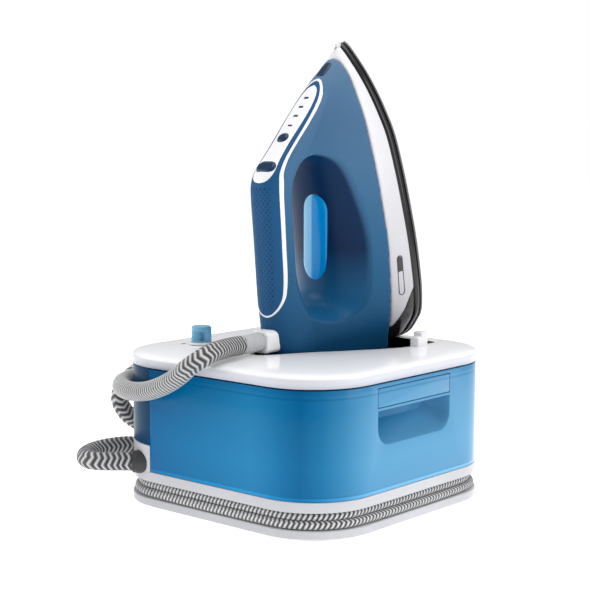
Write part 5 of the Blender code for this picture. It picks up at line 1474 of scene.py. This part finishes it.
def add_lens():
    """The lens in the hole's floor, and the dark seat line round it, both turned upright."""
    middle = Vector((0, 103, 68)) * MM
    half_x, half_y = 0.0125, 0.0370
    outline = stadium(half_y, half_x)
    turn = Matrix.Translation(middle) @ Matrix.Rotation(LENS_TURN, 4, "Z")
    loops = [[Vector((x, y, -0.0060)) for x, y in outline]]
    for inset, height in ((0, 0.0002), (0.0003, 0.0006), (0.0010, 0.0010), (0.0025, 0.0012),
                          (0.0060, 0.0013), (0.0110, 0.0013)):
        points = [(x * (1 - inset / half_x), y * (1 - inset / half_y)) for x, y in outline]
        loops.append([Vector((x, y, height - HOLE_CROWN * x * x)) for x, y in points])
    lens = loft("lens", loops, smooth=50)
    shape = bmesh.new()
    shape.from_mesh(lens.data)
    # Cut the lens along the line where its painted reflection meets the deep blue.
    for x in (-0.0016, -0.0012):
        parts = shape.verts[:] + shape.edges[:] + shape.faces[:]
        bmesh.ops.bisect_plane(shape, geom=parts, plane_co=(x, 0, 0), plane_no=(1, 0, 0))
    shape.to_mesh(lens.data)
    shape.free()
    # How far across the lens each point lies, which places the painted reflection.
    layer = lens.data.attributes.new("across", "FLOAT", "POINT")
    layer.data.foreach_set("value", [0.5 + vert.co.x / (2 * half_x) for vert in lens.data.vertices])
    iron_piece(lens, LENS, "lens_blue", "badge_lens", matrix=TO_WORLD @ turn)
    seat_loops = []
    for grow, height in ((0.0002, -0.0040), (0.0002, 0.0003), (0.0008, 0.0003), (0.0008, -0.0040)):
        points = [(x * (1 + grow / half_x), y * (1 + grow / half_y)) for x, y in outline]
        seat_loops.append([Vector((x, y, height - HOLE_CROWN * x * x)) for x, y in points])
    iron_piece(loft("lens_seat", seat_loops, ring=True), NAVY, "navy_plastic", matrix=TO_WORLD @ turn)


def add_trigger():
    thing = box("trigger_key", (-0.0060, 118.5 * MM, 99.5 * MM), (0.0060, 155.5 * MM, 107.5 * MM))
    iron_piece(ease(thing, 0.0018, 4), NAVY, "navy_plastic", "steam_trigger", body="steam_trigger")


def add_hose_fittings():
    axis = Vector((0, -1, 0))
    loops = []
    for inset, back in ((0, 0.0270), (0, 0.0010), (0.0003, 0.0003), (0.0010, 0)):
        side = CONNECTOR_RADIUS - inset
        outline = rounded_box(-side, side, -side, side, 0.0042 - inset, 6)
        loops.append(level(outline, CONNECTOR_REACH - back))
    sleeve = loft("connector_sleeve", loops, smooth=50)
    use(place(sleeve, CONNECTOR_PLACE, axis), "iron", WHITE, "white_plastic", "hose_connector")
    reach = (RELIEF_TIP - CONNECTOR_PLACE).length - CONNECTOR_REACH - GAP
    relief = ribbed("relief_sleeve", 0.0078, 0.0074, reach, 5,
                    CONNECTOR_PLACE + axis * (CONNECTOR_REACH + GAP), RELIEF_TIP - CONNECTOR_PLACE)
    use(relief, "iron", GREY, "grey_plastic", "strain_relief")


# ---------------------------------------------------------------- what stays as the model has it
KEPT = {
    "cord_drum": BLACK, "dock_well": BLACK, "inner_housing": BLACK, "tank_valve": BLACK, "water_port": BLACK,
    "thermostat": BLACK, "boiler": STEEL, "pump": STEEL, "trigger_spring": STEEL, "lock_shaft": STEEL,
    "base_screw_one": STEEL, "base_screw_two": STEEL, "base_screw_three": STEEL, "base_screw_four": STEEL,
    "heating_block": SOLE, "steam_valve": BRASS, "steam_pipe": BRASS, "water_pipe": CLEAR,
    "control_board": BOARD, "iron_board": BOARD, "foot_front_left": RUBBER, "foot_front_right": RUBBER,
    "foot_rear_left": RUBBER, "foot_rear_right": RUBBER,
}


def dress_kept_nodes():
    for name, look in KEPT.items():
        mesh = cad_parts[name].data
        mesh.materials.clear()
        mesh.materials.append(look)
        mesh.shade_smooth()
        mesh.set_sharp_from_angle(angle=math.radians(35))


# ---------------------------------------------------------------- the whole object
add_camera()
add_lights()
add_floor()
add_plug()
add_hose()
add_mains_cord()
add_glands()
add_base_shells()
add_lid()
add_tank()
add_knob()
add_sole()
add_skirt()
add_body()
add_trim()
add_grip()
add_panel()
add_lens()
add_trigger()
add_hose_fittings()
dress_kept_nodes()
